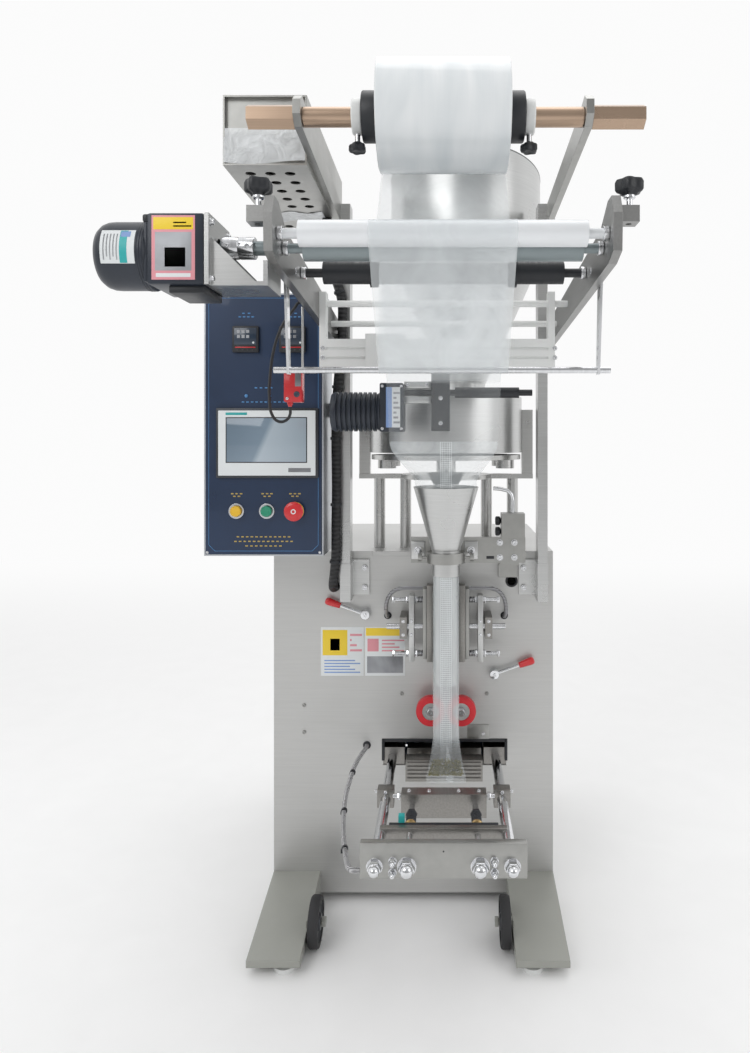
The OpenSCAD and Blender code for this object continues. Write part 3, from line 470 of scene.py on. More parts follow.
    def slab(self, outline, depth, material, bevel=0.0008):
        """A flat outline of points thickened along the vector depth, its rims eased."""
        part = bmesh.new()
        face = part.faces.new([part.verts.new(p) for p in outline])
        out = bmesh.ops.extrude_face_region(part, geom=[face])
        moved = [v for v in out["geom"] if isinstance(v, bmesh.types.BMVert)]
        bmesh.ops.translate(part, vec=Vector(depth), verts=moved)
        bmesh.ops.recalc_face_normals(part, faces=part.faces)
        if bevel:
            rims = [e for e in part.edges if e.is_manifold and e.calc_face_angle(0) > 0.8]
            bmesh.ops.bevel(part, geom=rims, offset=bevel, segments=2, affect="EDGES", profile=0.5)
        return self.absorb(part, material)

    def done(self, body="root", slot=None, replaces=(), smooth=38):
        mesh = bpy.data.meshes.new(self.name)
        self.bm.to_mesh(mesh)
        self.bm.free()
        for material in self.materials:
            mesh.materials.append(material)
        mesh.shade_smooth()
        mesh.set_sharp_from_angle(angle=math.radians(smooth))
        obj = bpy.data.objects.new(self.name, mesh)
        scene.collection.objects.link(obj)
        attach(obj, body)
        if replaces:
            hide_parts(*replaces)
        return obj


# ---------- camera and light ----------
def make_camera():
    """The photograph's level view, from 1.6 m in front of the cabinet and 0.99 m up."""
    distance, height = 1600, 993
    focal = 744 / PHOTO_H
    centre_right, centre_up = 71 / PHOTO_H, 86.5 / PHOTO_H
    data = bpy.data.cameras.new("camera")
    data.sensor_width = 36
    data.lens = 36 * focal
    data.shift_x, data.shift_y = -centre_right, -centre_up
    camera = bpy.data.objects.new("camera", data)
    camera.location = at(0, -distance, height)
    camera.rotation_euler = (math.pi / 2, 0, 0)
    scene.collection.objects.link(camera)
    scene.camera = camera


def soft_light(name, place, target, size, power):
    data = bpy.data.lights.new(name, "AREA")
    data.size = size
    data.energy = power
    light = bpy.data.objects.new(name, data)
    light.location = place
    light.rotation_euler = (Vector(target) - Vector(place)).to_track_quat("-Z", "Y").to_euler()
    scene.collection.objects.link(light)


def make_studio():
    """White room, a little darker towards the front, where steel that faces the camera mirrors it."""
    world = bpy.data.worlds.new("studio")
    scene.world = world
    world.use_nodes = True
    tree = world.node_tree
    place = tree.nodes.new("ShaderNodeTexCoord")
    split = tree.nodes.new("ShaderNodeSeparateXYZ")
    ramp = tree.nodes.new("ShaderNodeMapRange")
    for key, value in (("From Min", -0.9), ("From Max", 0.1), ("To Min", 0.42), ("To Max", 0.97)):
        ramp.inputs[key].default_value = value
    tree.links.new(place.outputs["Generated"], split.inputs["Vector"])
    tree.links.new(split.outputs["Y"], ramp.inputs["Value"])
    tree.links.new(ramp.outputs["Result"], tree.nodes["Background"].inputs["Strength"])
    tree.nodes["Background"].inputs["Color"].default_value = (1, 1, 1, 1)
    scene.view_settings.view_transform = "Standard"
    soft_light("key", (-1.7, -2.3, 2.6), (0, 0, 0.9), 1.8, 26)
    soft_light("fill", (2.4, -1.7, 1.7), (0, 0, 0.9), 1.6, 10)
    soft_light("top", (0.2, 0.3, 3.2), (0, 0, 0.8), 2.0, 14)
    floor = Piece("floor")
    paper = coating("floor_paper", (0.92, 0.92, 0.92), 0.8, 60, 0.01, 0.02, 0)
    floor.grid([[(-9, -9, 0), (9, -9, 0)], [(-9, 9, 0), (9, 9, 0)]], paper)
    # the paper glows like the room's wall far behind the machine, so no horizon shows
    tree = paper.node_tree
    place, split, far = (tree.nodes.new("ShaderNode" + kind)
                         for kind in ("TexCoord", "SeparateXYZ", "MapRange"))
    far.inputs["From Min"].default_value, far.inputs["From Max"].default_value = 0.3, 4.5
    far.interpolation_type = "SMOOTHSTEP"
    glow, blend = tree.nodes.new("ShaderNodeEmission"), tree.nodes.new("ShaderNodeMixShader")
    glow.inputs["Strength"].default_value = 0.97
    surface = next(n for n in tree.nodes if n.type == "OUTPUT_MATERIAL").inputs["Surface"]
    shaded = surface.links[0].from_socket
    tree.links.new(place.outputs["Object"], split.inputs["Vector"])
    tree.links.new(split.outputs["Y"], far.inputs["Value"])
    tree.links.new(far.outputs["Result"], blend.inputs["Fac"])
    tree.links.new(shaded, blend.inputs[1])
    tree.links.new(glow.outputs["Emission"], blend.inputs[2])
    tree.links.new(blend.outputs["Shader"], surface)
    mesh = bpy.data.meshes.new("floor")
    floor.bm.to_mesh(mesh)
    mesh.materials.append(floor.materials[0])
    obj = bpy.data.objects.new("floor", mesh)
    scene.collection.objects.link(obj)


make_camera()
make_studio()

# ---------- cords ----------
# the same routes as in part.scad, in its millimetres
BUNDLE_PATH = [(-246, -62, 1450), (-246, -62, 1410), (-238, -62, 1350), (-224, -62, 1315),
               (-215, -62, 1280), (-214, -62, 1230), (-216, -62, 1180), (-222, -62, 1120), (-226, -62, 1060),
               (-227, -62, 980), (-226, -62, 900), (-227, -62, 820), (-228, -60, 750), (-232, -54, 712),
               (-236, -42, 690), (-238, -22, 680), (-238, 0, 678)]
SENSOR_PATH = [(-262, -350, 1048), (-262, -350, 1036), (-268, -353, 1026), (-280, -356, 1024),
               (-290, -357, 1034), (-295, -356, 1060), (-295, -352, 1100), (-289, -346, 1150),
               (-276, -338, 1190),
               (-260, -330, 1216), (-250, -324, 1230), (-240.4, -324, 1230)]
JAW_PATH = [(-170, 3, 337), (-170, -12, 337), (-176, -36, 335), (-186, -70, 326), (-192, -115, 313),
            (-194, -170, 300), (-189, -230, 291), (-180, -290, 289), (-170, -340, 291), (-163, -374, 295),
            (-155, -396, 298), (-150, -398, 298), (-139.5, -398, 298)]
SEAL_PATH = [(-48.4, -47, 684), (-66, -47, 684), (-86, -46, 684), (-104, -44, 680), (-118, -40, 668),
             (-125, -34, 650), (-127, -24, 630), (-125, -8, 616), (-125, 3, 616)]


def make_cord(name, path, diameter, material, nodes):
    data = bpy.data.curves.new(name, "CURVE")
    data.dimensions = "3D"
    data.bevel_depth = diameter * MM / 2
    data.bevel_resolution = 4
    data.resolution_u = 8
    data.use_fill_caps = True
    spline = data.splines.new("BEZIER")
    spline.bezier_points.add(len(path) - 1)
    for point, place in zip(spline.bezier_points, path):
        point.co = at(*place)
        point.handle_left_type = point.handle_right_type = "AUTO"
    data.materials.append(material)
    obj = bpy.data.objects.new(name, data)
    scene.collection.objects.link(obj)
    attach(obj, "root")
    if nodes:
        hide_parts(*nodes)
    bpy.context.view_layer.update()
    return obj


def make_ties(name, path, spots, radius, material=BLACK):
    """Cable ties round a cord, at places along its route."""
    piece = Piece(name)
    for i, t in spots:
        a, b = at(*path[i]), at(*path[i + 1])
        along = (b - a).normalized()
        centre = mix(a, b, t)
        r = radius * MM
        piece.lathe([(r * 0.96, -0.0024), (r + 0.0012, -0.0024), (r + 0.0012, 0.0024), (r * 0.96, 0.0024)],
                    centre, along, material, 20)
        head = centre + along.orthogonal().normalized() * (r + 0.001)
        piece.block(head - Vector((0.003, 0.003, 0.003)), head + Vector((0.003, 0.003, 0.003)), material,
                    0.0008)
    return piece.done(slot="black_plastic")


bundle_ties = make_ties("bundle_ties", BUNDLE_PATH, [(3, 0.5), (7, 0.3), (8, 0.8), (10, 0.5), (12, 0.2)], 10)
jaw_ties = make_ties("jaw_cable_ties", JAW_PATH, [(3, 0.5), (5, 0.5), (7, 0.6)], 4.5)
make_cord("cable_loom", BUNDLE_PATH, 20, SLEEVE, ["cable_bundle"])
make_cord("sensor_lead", SENSOR_PATH, 5, CORD_BLACK, ["sensor_cable"])
make_cord("jaw_lead", JAW_PATH, 9, BRAID, ["jaw_cable"])
for side, word in zip(SIDES, ("left", "right")):
    make_cord("sealer_lead_" + word, [(-side * p[0], p[1], p[2]) for p in SEAL_PATH], 8, BRAID_Z,
              ["sealer_cables"])


# ---------- film ----------
def roller_circle(node):
    """A roller's middle in [y, z], and its radius."""
    lo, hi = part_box(node)
    return Vector(((lo.y + hi.y) / 2, (lo.z + hi.z) / 2)), (hi.z - lo.z) / 2


FILM_GAP = 0.0006
FILM_HALF = 0.1
FRAME_X = -4
# diameters that the boxes don't give
RUBBER_R, DANCER_R = 17.5 * MM, 5 * MM
DANCER_YZ = Vector(((-450 + FRONT_Y) * MM, 1101 * MM))
LEAD = Vector(((-230 + FRONT_Y) * MM, 0.99))


def bearing(a, b):
    return math.atan2(b.y - a.y, b.x - a.x)


def rim(circle, angle):
    centre, radius = circle
    return centre + (radius + FILM_GAP) * Vector((math.cos(angle), math.sin(angle)))


def arc(circle, start, end):
    steps = max(2, math.ceil(abs(end - start) / math.radians(7)))
    return [rim(circle, start + (end - start) * i / steps) for i in range(steps + 1)]


def web_path():
    """The film's run in [y, z], from the roll to where it turns down to the collar."""
    roll, grey, white = (roller_circle(n) for n in ("film_roll", "driven_roller", "front_roller"))
    grey = (grey[0], 0.018)
    white = (white[0], 0.018)
    rubber = (roller_circle("rubber_roller")[0], RUBBER_R)
    dancer = (DANCER_YZ, DANCER_R)

    def same(a, b, side):
        return bearing(a[0], b[0]) + side * math.acos((a[1] - b[1]) / (b[0] - a[0]).length)

    off_roll = same(roll, grey, 1)
    nip = bearing(grey[0], white[0])
    off_white = same(white, dancer, -1) + math.tau
    reach = (rubber[0] - dancer[0]).length
    off_dancer = bearing(dancer[0], rubber[0]) - math.acos((DANCER_R + RUBBER_R
                                                            + 2 * FILM_GAP) / reach) + math.tau
    off_rubber = bearing(rubber[0], LEAD) + math.acos((RUBBER_R + FILM_GAP) / (LEAD - rubber[0]).length)
    skip = math.radians(10)
    return ([rim(roll, off_roll)] + arc(grey, off_roll, nip - math.tau + skip) + [(grey[0] + white[0]) / 2]
            + arc(white, nip - math.pi + skip, off_white) + arc(dancer, off_white, off_dancer)
            + arc(rubber, off_dancer - math.pi, off_rubber) + [LEAD])


def make_web():
    """The web, with a little slack between its rollers."""
    path = web_path()
    dense = []
    for a, b in zip(path, path[1:]):
        parts = max(1, round((b - a).length / 0.02))
        dense += [mix(a, b, i / parts) for i in range(parts)]
    dense.append(path[-1])
    centre = at(FRAME_X, 0, 0).x
    rows = []
    across = 14
    travelled = 0.0
    for i, p in enumerate(dense):
        travelled += (p - dense[i - 1]).length if i else 0
        rows.append([(centre + FILM_HALF * (2 * k / across - 1),
                      p.x + 0.0004 * math.sin(0.9 * k + 30 * travelled), p.y) for k in range(across + 1)])
    web = Piece("film_web_sheet").grid(rows, FILM).done(slot="film", replaces=["film_web"], smooth=60)
    return web


TUBE_R = 26.6
TUBE_Y = -90
COLLAR_R, COLLAR_TOP, COLLAR_NECK = 62, 900, 770
TUBE_END, BAG_SEAL, BAG_FOOT = 400, 311, 297
FIN_X = 0.35


def tube_section(s):
    """A point of the tube's outline s millimetres from its front, in [x, y]: round, then back into the fin."""
    half = math.pi * TUBE_R
    if abs(s) < half - 1:
        a = s / TUBE_R
        return Vector((TUBE_R * math.sin(a), TUBE_Y - TUBE_R * math.cos(a)))
    side = 1 if s > 0 else -1
    return Vector((side * FIN_X, TUBE_Y + TUBE_R + (abs(s) - half)))


def flat_section(s):
    """The same point where the bag is pressed flat, with the fin folded to one side."""
    half = math.pi * TUBE_R
    side = 1 if s > 0 else -1
    if abs(s) <= half / 2:
        return Vector((s, TUBE_Y - 0.5))
    if abs(s) <= half:
        return Vector((side * (half - abs(s)), TUBE_Y + 0.3))
    return Vector((abs(s) - half, TUBE_Y + (0.8 if side > 0 else 1.3)))


def make_film_tube():
    """From the web's turn down the collar, round the tube, and on to the filled bag's end seal."""
    across = 60
    spots = [100 * (2 * k / across - 1) for k in range(across + 1)]
    rows = []
    for i in range(17):
        t = i / 16
        ease = t * t * (3 - 2 * t)
        row = []
        for s in spots:
            a = s / COLLAR_R
            line = Vector((FRAME_X + s, LEAD.x / MM - FRONT_Y, LEAD.y / MM))
            ring = Vector((COLLAR_R * math.sin(a), TUBE_Y - COLLAR_R * math.cos(a), COLLAR_TOP - 2))
            p = mix(line, ring, ease)
            p.z = mix(line.z, ring.z, t)
            row.append(at(*p))
        rows.append(row)
    for i in range(1, 13):
        t = i / 12
        row = []
        for s in spots:
            a = s / COLLAR_R
            ring = Vector((COLLAR_R * math.sin(a), TUBE_Y - COLLAR_R * math.cos(a)))
            p = mix(ring, tube_section(s), math.sin(t * math.pi / 2) ** 1.2)
            row.append(at(p.x, p.y, mix(COLLAR_TOP - 2, COLLAR_NECK, t)))
        rows.append(row)
    for z in range(COLLAR_NECK - 10, TUBE_END, -10):
        row = []
        for s in spots:
            p = tube_section(s)
            swell = 0.25 * math.sin(z * 0.11 + s * 0.35)
            row.append(at(p.x * (1 + swell / 60), p.y, z))
        rows.append(row)
    for i in range(1, 15):
        t = i / 14
        press = t ** 1.7
        row = []
        for s in spots:
            p = mix(tube_section(s), flat_section(s), press)
            ripple = 1.2 * math.sin(s * 0.5 + t * 5) * t * (1 - t) * 4
            row.append(at(p.x, p.y + ripple, mix(TUBE_END, BAG_SEAL, t)))
        rows.append(row)
    for z in range(BAG_SEAL - 2, BAG_FOOT - 1, -2):
        row = []
        for s in spots:
            p = flat_section(s)
            row.append(at(p.x, p.y + 0.5 * (z // 2 % 2), z))
        rows.append(row)
    tube = Piece("film_tube_sheet").grid(rows, TUBE).done(slot="film", replaces=["film_tube"], smooth=60)


def make_granules():
    """Product heaped in the bag above its end seal."""
    rng = random.Random(7)
    piece = Piece("granules")
    for _ in range(620):
        z = BAG_SEAL + 2 + 30 * rng.random() ** 1.2
        t = (TUBE_END - z) / (TUBE_END - BAG_SEAL)
        half_x = mix(TUBE_R, math.pi * TUBE_R / 2, t ** 1.7) - 5
        half_y = max(0.6, TUBE_R * (1 - t ** 1.7) - 2.5)
        x = half_x * (2 * rng.random() - 1)
        y = half_y * (2 * rng.random() - 1) * math.sqrt(max(0, 1 - (x / half_x) ** 2))
        part = bmesh.new()
        bmesh.ops.create_icosphere(part, subdivisions=1, radius=(1.1 + 0.7 * rng.random()) * MM)
        turn = Matrix.Rotation(rng.random() * 6, 4, "X") @ Matrix.Diagonal((1, 0.7, 1.25, 1))
        piece.absorb(part, GRAIN, Matrix.Translation(at(x, TUBE_Y + y, z)) @ turn)
    piece.done(slot="film")


make_web()
make_film_tube()
make_granules()


# ---------- CAD nodes that stay, with their finish ----------
FINISH = {
    "cabinet_shell": CABINET, "rear_cover": CABINET, "feet": FOOT, "level_pads": WHITE, "frame_posts": STEEL,
    "roll_arms": SATIN, "side_bars": BARS, "cross_bar": WHITE, "upper_box": SATIN, "panel_box": PANEL_EDGE,
    "panel_face": NAVY, "button_collars": CHROME, "hopper": STEEL, "feeder_drum": STEEL,
    "feeder_stand": STEEL_X,
    "coder_plate": BLACK, "forming_set": STEEL, "collar_clamp": SATIN, "motor_bracket": STEEL,
    "sealer_guides": HARD, "rod_bushings": HARD, "main_motor": BLUE_MOTOR, "dosing_disc": STEEL_X,
    "coder_roller": BLACK, "roll_shaft": BRONZE, "driven_roller": GREY_ALU, "front_roller": WHITE_ALU,
    "rubber_roller": RUBBER, "dancer": CHROME_X, "front_jaw": HARD, "rear_jaw": HARD, "cam_shaft": HARD,
}
for node, material in FINISH.items():
    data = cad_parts[node].data
    data.materials.clear()
    data.materials.append(material)


# ---------- film roll and its shaft ----------
def make_film_roll():
    lo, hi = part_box("film_roll")
    centre, long, r = middle("film_roll"), (hi.x - lo.x) / MM, (hi.z - lo.z) / 2 / MM
    bore, core = 15.9, 40
    ring = [(bore, 0), (core, 0), (core, 0.8), (core + 2, 0.8), (r - 2, 0.6), (r, 1.8), (r, long - 1.8),
            (r - 2, long - 0.6), (core + 2, long - 0.8), (core, long), (bore, long), (bore, 0)]
    roll = Piece("film_roll_wound")
    roll.lathe(mm(ring), Vector((lo.x, centre.y, centre.z)), X, ROLL, 96)
    roll.done("film_roll", "film_roll", ["film_roll"])


def lobed_knob(piece, base, axis, radius, height, material=BLACK):
    """A five-lobed hand knob with a skirt below and a dished top."""
    shape = [(0, 0), (0.5, 0), (0.56, 0.1), (0.86, 0.22), (0.95, 0.34), (0.96, 0.78), (0.86, 0.96),
             (0.7, 1.0),
             (0.45, 0.93), (0, 0.9)]
    piece.lathe([(a * radius, b * height) for a, b in shape], base, axis, material, 60, 5, 0.11)


def make_chucks():
    lo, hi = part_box("roll_chucks")
    roll_lo, roll_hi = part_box("film_roll")
    centre = middle("film_roll")
    chucks = Piece("roll_chucks_fitted")
    for side in SIDES:
        face = Vector((roll_hi.x + 0.3 * MM if side > 0 else roll_lo.x - 0.3 * MM, centre.y, centre.z))
        black = [(15.2, 0), (36, 0), (38, 2), (38, 22), (36.5, 24), (30, 24), (15.2, 24), (15.2, 0)]
        white = [(15.2, 24.2), (25, 24.2), (26.6, 26), (26.6, 38), (25, 40), (15.2, 40), (15.2, 24.2)]
        for shape, material in ((black, BLACK), (white, WHITE)):
            chucks.lathe(mm(shape), face, X * side, material, 48)
        for k in range(4):
            a = math.tau * (k + 0.5) / 4
            spot = face + X * side * 24 * MM + 32 * MM * Vector((0, math.cos(a), math.sin(a)))
            chucks.cap_screw(spot - X * side * 2.5 * MM, X * side, 2.4 * MM, DARK)
        under = face + X * side * 32 * MM - Z * 25.5 * MM
        chucks.rod(under, under - Z * 16 * MM, 4 * MM, CHROME)
        lobed_knob(chucks, under - Z * 14 * MM, -Z, 13 * MM, 15 * MM)
    chucks.done("film_roll", "black_plastic", ["roll_chucks"])


def make_pressure_knobs():
    for word in ("left", "right"):
        node = "knob_" + word
        lo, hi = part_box(node)
        x, y = (lo.x + hi.x) / 2, (lo.y + hi.y) / 2
        knob = Piece(node + "_star")
        top = hi.z - 22 * MM
        knob.rod((x, y, lo.z), (x, y, top + 2 * MM), 4 * MM, CHROME_X)
        knob.lathe([(0, 0), (7 * MM, 0), (8 * MM, 1 * MM), (8 * MM, 4 * MM), (0, 4 * MM)],
                   Vector((x, y, top - 4 * MM)), Z, CHROME_X, 24)
        lobed_knob(knob, Vector((x, y, top)), Z, 18.6 * MM, 22 * MM)
        knob.done(node, "black_plastic", [node])


# ---------- film motor ----------
def label_sheet(piece, centre, radius, span, angles, material):
    """A label round a motor's side: span from centre along X, and angles from straight ahead."""
    rows = []
    for dx in span:
        turns = (math.radians(mix(*angles, i / 12)) for i in range(13))
        rows.append([off(centre, dx, -radius * math.cos(a), radius * math.sin(a)) for a in turns])
    piece.grid(rows, material)


def sticker(piece, lo, hi, parts, back=LABEL):
    """A label without lettering on a face towards -Y: parts are (left, bottom, right, top, material) shares."""
    lo, hi = Vector(lo), Vector(hi)
    piece.block(lo, hi, back, 0.0001)
    for left, bottom, right, top, material in parts:
        a = Vector((mix(lo.x, hi.x, left), lo.y - 0.00012, mix(lo.z, hi.z, bottom)))
        b = Vector((mix(lo.x, hi.x, right), lo.y, mix(lo.z, hi.z, top)))
        piece.block(a, b, material, 0.00003)


def bars(left, right, bottom, top, count, material):
    """Even plain bars that stand for lines of text."""
    pitch = (top - bottom) / count
    return [(left, bottom + i * pitch, right - 0.12 * (i % 3), bottom + (i + 0.42) * pitch, material)
            for i in range(count)]


def make_film_motor():
    lo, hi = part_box("film_motor")
    c = Vector((hi.x, (lo.y + hi.y) / 2, hi.z - 48 * MM))
    motor = Piece("film_motor_body")
    motor.blocks(c, [((-77, -48, -48), (0, 48, 48), MOTOR, 0.004),
                     ((-83, -44, -44), (-76, 44, 44), MOTOR, 0.003)])
    shell = [(0, 0), (44, 0), (47, 3), (47, 52), (46.4, 60), (44, 67), (39, 73), (31, 76.6), (18, 78.4),
             (0, 78.9)]
    motor.lathe(mm(shell), off(c, -80), -X, MOTOR, 64)
    for i in range(3):
        motor.lathe(mm([(46, 0), (47.6, 0.6), (46, 1.4)]), off(c, -84 - 3.5 * i), -X, MOTOR, 64)
    motor.blocks(c, [((-50, -40, -58), (-2, 40, -48), BLACK, 0.0015),
                     ((-84, -46, 36), (-74, -30, 47), BLACK, 0.003)])
    label_sheet(motor, c, 47.35, (-140, -94), (-24, 34), LABEL)
    label_sheet(motor, c, 47.5, (-114, -104), (-23, 33), TEAL)
    label_sheet(motor, c, 47.5, (-113, -100), (20, 31), LABEL_BLUE)
    for k in range(5):
        label_sheet(motor, c, 47.5, (4.4 * k - 136, 4.4 * k - 134.5), (-18 + 5 * (k % 2), 26), LABEL_GREY)
    sticker(motor, off(c, -70, -48.4, -42), off(c, -12, -48, 44),
            [(0.04, 0.78, 0.96, 0.97, LABEL_YELLOW), (0.08, 0.14, 0.92, 0.74, LABEL_GREY),
             (0.3, 0.2, 0.78, 0.5, LABEL), (0.1, 0.04, 0.9, 0.1, LABEL)]
            + bars(0.5, 0.92, 0.82, 0.93, 2, LABEL_GREY), LABEL_PINK)
    motor.done("root", "motor_black", ["film_motor"])

    plate = Vector((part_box("motor_bracket")[0].x + 6 * MM, c.y, c.z))
    fit = Piece("motor_bracket_screws")
    for dy in SIDES:
        for dz in SIDES:
            fit.cap_screw(off(plate, 0, dy * 38, dz * 38), X, 4 * MM)
    fit.done("root", "chrome")

    roller = middle("driven_roller")
    start = Vector((plate.x + 6 * MM, roller.y, roller.z))
    ring = [(10.2, 0), (14.5, 0), (15.5, 1), (15.5, 21), (14.8, 22), (14.8, 23), (15.5, 24), (15.5, 44),
            (14.5, 45), (10.2, 45)]
    coupling = Piece("motor_coupling")
    coupling.lathe(mm(ring), start, X, CHROME_X, 48)
    for dx in (9, 36):
        coupling.cap_screw(off(start, dx, -14.6), -Y, 2.8 * MM)
    coupling.done("driven_roller", "chrome")


# ---------- control panel ----------
def make_panel():
    lo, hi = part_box("panel_face")
    front = lo.y
    panel = Piece("panel_outline")
    inset, chamfer, width = 7 * MM, 12 * MM, 0.9 * MM
    x0, x1, z0, z1 = lo.x + inset, hi.x - inset, lo.z + inset, hi.z - inset
    corners = [(x0 + chamfer, z0), (x1 - chamfer, z0), (x1, z0 + chamfer), (x1, z1 - chamfer),
               (x1 - chamfer, z1),
               (x0 + chamfer, z1), (x0, z1 - chamfer), (x0, z0 + chamfer)]
    for (ax, az), (bx, bz) in zip(corners, corners[1:] + corners[:1]):
        a, b = Vector((ax, front - 0.1 * MM, az)), Vector((bx, front - 0.1 * MM, bz))
        side = (b - a).normalized().cross(Y) * width / 2
        panel.slab([a - side, b - side, b + side, a + side], -Y * 0.25 * MM, BLUE_LINE, 0)
    # rows of plain marks where the maker's wording was
    buttons = [middle(n) for n in ("yellow_button", "green_button", "stop_button")]
    marks = [(b.x, b.z + 34 * MM, 26) for b in buttons] + [(b.x, b.z + 29 * MM, 18) for b in buttons]
    screens = [at(x, 0, 0).x for x in (-394, -302)]
    marks += [(x, at(0, 0, 1236).z, 34) for x in screens] + [(x, at(0, 0, 1243).z, 22) for x in screens]
    centre = (lo.x + hi.x) / 2
    marks += [(centre, at(0, 0, 802).z, 110), (centre, at(0, 0, 793).z, 120), (centre, at(0, 0, 784).z, 76),
              (centre, at(0, 0, 1068).z, 90), (centre, at(0, 0, 1096).z, 40)]
    for x, z, wide in marks:
        count = max(2, round(wide / 9))
        for k in range(count):
            a = x + (k - (count - 1) / 2) * wide / count * MM
            panel.block((a - 2.6 * MM, front - 0.3 * MM, z - 1.2 * MM), (a + 2.6 * MM, front, z + 1.2 * MM),
                        GOLD_LINE if z < at(0, 0, 950).z else BLUE_LINE, 0.0001)
    for x in (lo.x + 4 * MM, hi.x - 4 * MM):
        for z in (lo.z + 4 * MM, hi.z - 4 * MM):
            panel.cap_screw(Vector((x, front, z)), -Y, 1.9 * MM)
    panel.done("root", "panel_navy")


def make_screen():
    lo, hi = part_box("touch_screen")
    wide, deep, high = (hi - lo) / MM
    screen = Piece("touch_screen_unit")
    screen.blocks(lo, [
        ((0, 3, 0), (wide, deep, high), DARK, 0.002),
        ((5, 0, 5), (wide - 5, 4, high - 5), LABEL, 0.0015),
        ((20, -0.3, 30), (wide - 21, 1, high - 18), BLACK, 0.0008),
        ((22, -0.6, 32), (wide - 23, 1, high - 20), SCREEN, 0.0004),
        ((20, -0.3, high - 14), (62, 0, high - 9), TEAL, 0.0001),
        ((wide - 58, -0.3, 12), (wide - 14, 0, 20), LABEL_GREY, 0.0001)])
    screen.done("root", "screen", ["touch_screen"])


def make_controllers():
    lo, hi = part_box("heat_controllers")
    piece = Piece("temperature_controllers")
    for x in (lo.x + 26 * MM, hi.x - 26 * MM):
        # bottom middle of the controller's front
        c = Vector((x, hi.y - 8 * MM, hi.z - 52 * MM))
        piece.blocks(c, [((-26, 0, 0), (26, 8, 52), BLACK, 0.002),
                         ((-22, -0.8, 15), (22, 1, 48), SCREEN_DARK, 0.0008),
                         ((-20, -0.5, 9), (20, 0, 11), RED, 0.0002)])
        for dx in (-15, -5, 5, 15):
            piece.rod(off(c, dx, 0.4, 5), off(c, dx, -1, 5), 1.9 * MM, DARK, 14)
        piece.rod(off(c, 16, 0, 19), off(c, 16, -1.4, 19), 2.2 * MM, LABEL, 14)
        piece.blocks(c, [((dx - 3, -1, dz - 3), (dx + 3, -0.6, dz + 3), LABEL_GREY, 0.0002)
                         for dz in (41, 31) for dx in (-13, -4, 5)])
    dot = mm([(0, 0), (3.4, 0), (3.4, 1.4), (2.2, 2.4), (0, 2.8)])
    for k in range(3):
        x = mix(lo.x + 26 * MM, hi.x - 26 * MM, k / 2)
        piece.lathe(dot, Vector((x, hi.y, lo.z + 3.5 * MM)), -Y, BLUE_LINE, 20)
    piece.done("root", "black_plastic", ["heat_controllers"])


def make_buttons():
    cap = [(0, 0), (7.5, 0), (7.5, 20), (10.4, 20), (11, 20.6), (11, 24), (10, 26), (8.4, 26), (7.6, 25.2),
           (0, 24.8)]
    mushroom = [(0, 0), (7.5, 0), (7.5, 27), (12, 27.2), (17.6, 27.6), (19, 28.8), (19, 29.8), (17.6, 31.2),
                (12.5, 32.5), (6, 33), (0, 33)]
    for node, shape, material in (("yellow_button", cap, YELLOW), ("green_button", cap, GREEN),
                                  ("stop_button", mushroom, RED)):
        lo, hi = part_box(node)
        c = middle(node)
        scale = (hi.y - lo.y) / (max(b for _, b in shape) * MM)
        button = Piece(node + "_cap")
        button.lathe([(a * MM, b * MM * scale) for a, b in shape], Vector((c.x, hi.y, c.z)), -Y, material, 40)
        if material is RED:
            button.lathe([(3 * MM, 0), (5 * MM, 0), (5 * MM, 0.3 * MM), (3 * MM, 0.3 * MM)],
                         Vector((c.x, lo.y + 0.2 * MM, c.z)), -Y, LABEL, 24)
        button.done(node, node.split("_")[0] if material is not RED else "red", [node])
    c = middle("stop_button")
    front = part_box("button_collars")[0].y
    ring = Piece("stop_collar")
    ring.lathe([(12 * MM, 0), (17.4 * MM, 0), (18.4 * MM, 0.8 * MM), (17 * MM, 2.2 * MM), (12 * MM, 2.4 * MM),
                (12 * MM, 0)], Vector((c.x, front + 0.6 * MM, c.z)), -Y, YELLOW, 40)
    ring.done("root", "yellow")



# ---------- sensor ----------
def make_sensor():
    lo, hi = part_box("photo_sensor")
    sensor = Piece("photo_sensor_head")
    z0, z1 = at(0, 0, 1056).z, at(0, 0, 1108).z
    sensor.block((lo.x, lo.y, z0), (hi.x, hi.y, z1), RED, 0.0022)
    sensor.block((hi.x - 11 * MM, lo.y - 0.5 * MM, z0 + 26 * MM), (hi.x - 1 * MM, lo.y + 2 * MM, z1 - 3 * MM),
                 LABEL_GREY,
                 0.0006)
    sensor.lathe([(0, 0), (4.2 * MM, 0), (5 * MM, 1 * MM), (3.4 * MM, 2 * MM), (0, 1.4 * MM)],
                 Vector((hi.x - 8 * MM, lo.y, z0 + 13 * MM)), -Y, SCREEN_DARK, 24)
    sensor.cap_screw(Vector((lo.x + 6 * MM, lo.y, z0 + 6 * MM)), -Y, 1.8 * MM)
    x, y = lo.x + 8 * MM, at(0, -350, 0).y
    sensor.lathe([(0, 0), (3.2 * MM, 0), (3.6 * MM, 3 * MM), (5 * MM, 4 * MM), (5 * MM, 7 * MM), (0, 7 * MM)],
                 Vector((x, y, lo.z)), Z, RED, 24)
    sensor.block((hi.x - 2 * MM, at(0, -356, 0).y, z1 - 4 * MM), (hi.x, at(0, -344, 0).y, hi.z), STEEL,
                 0.0004)
    sensor.done("root", "red", ["photo_sensor"])


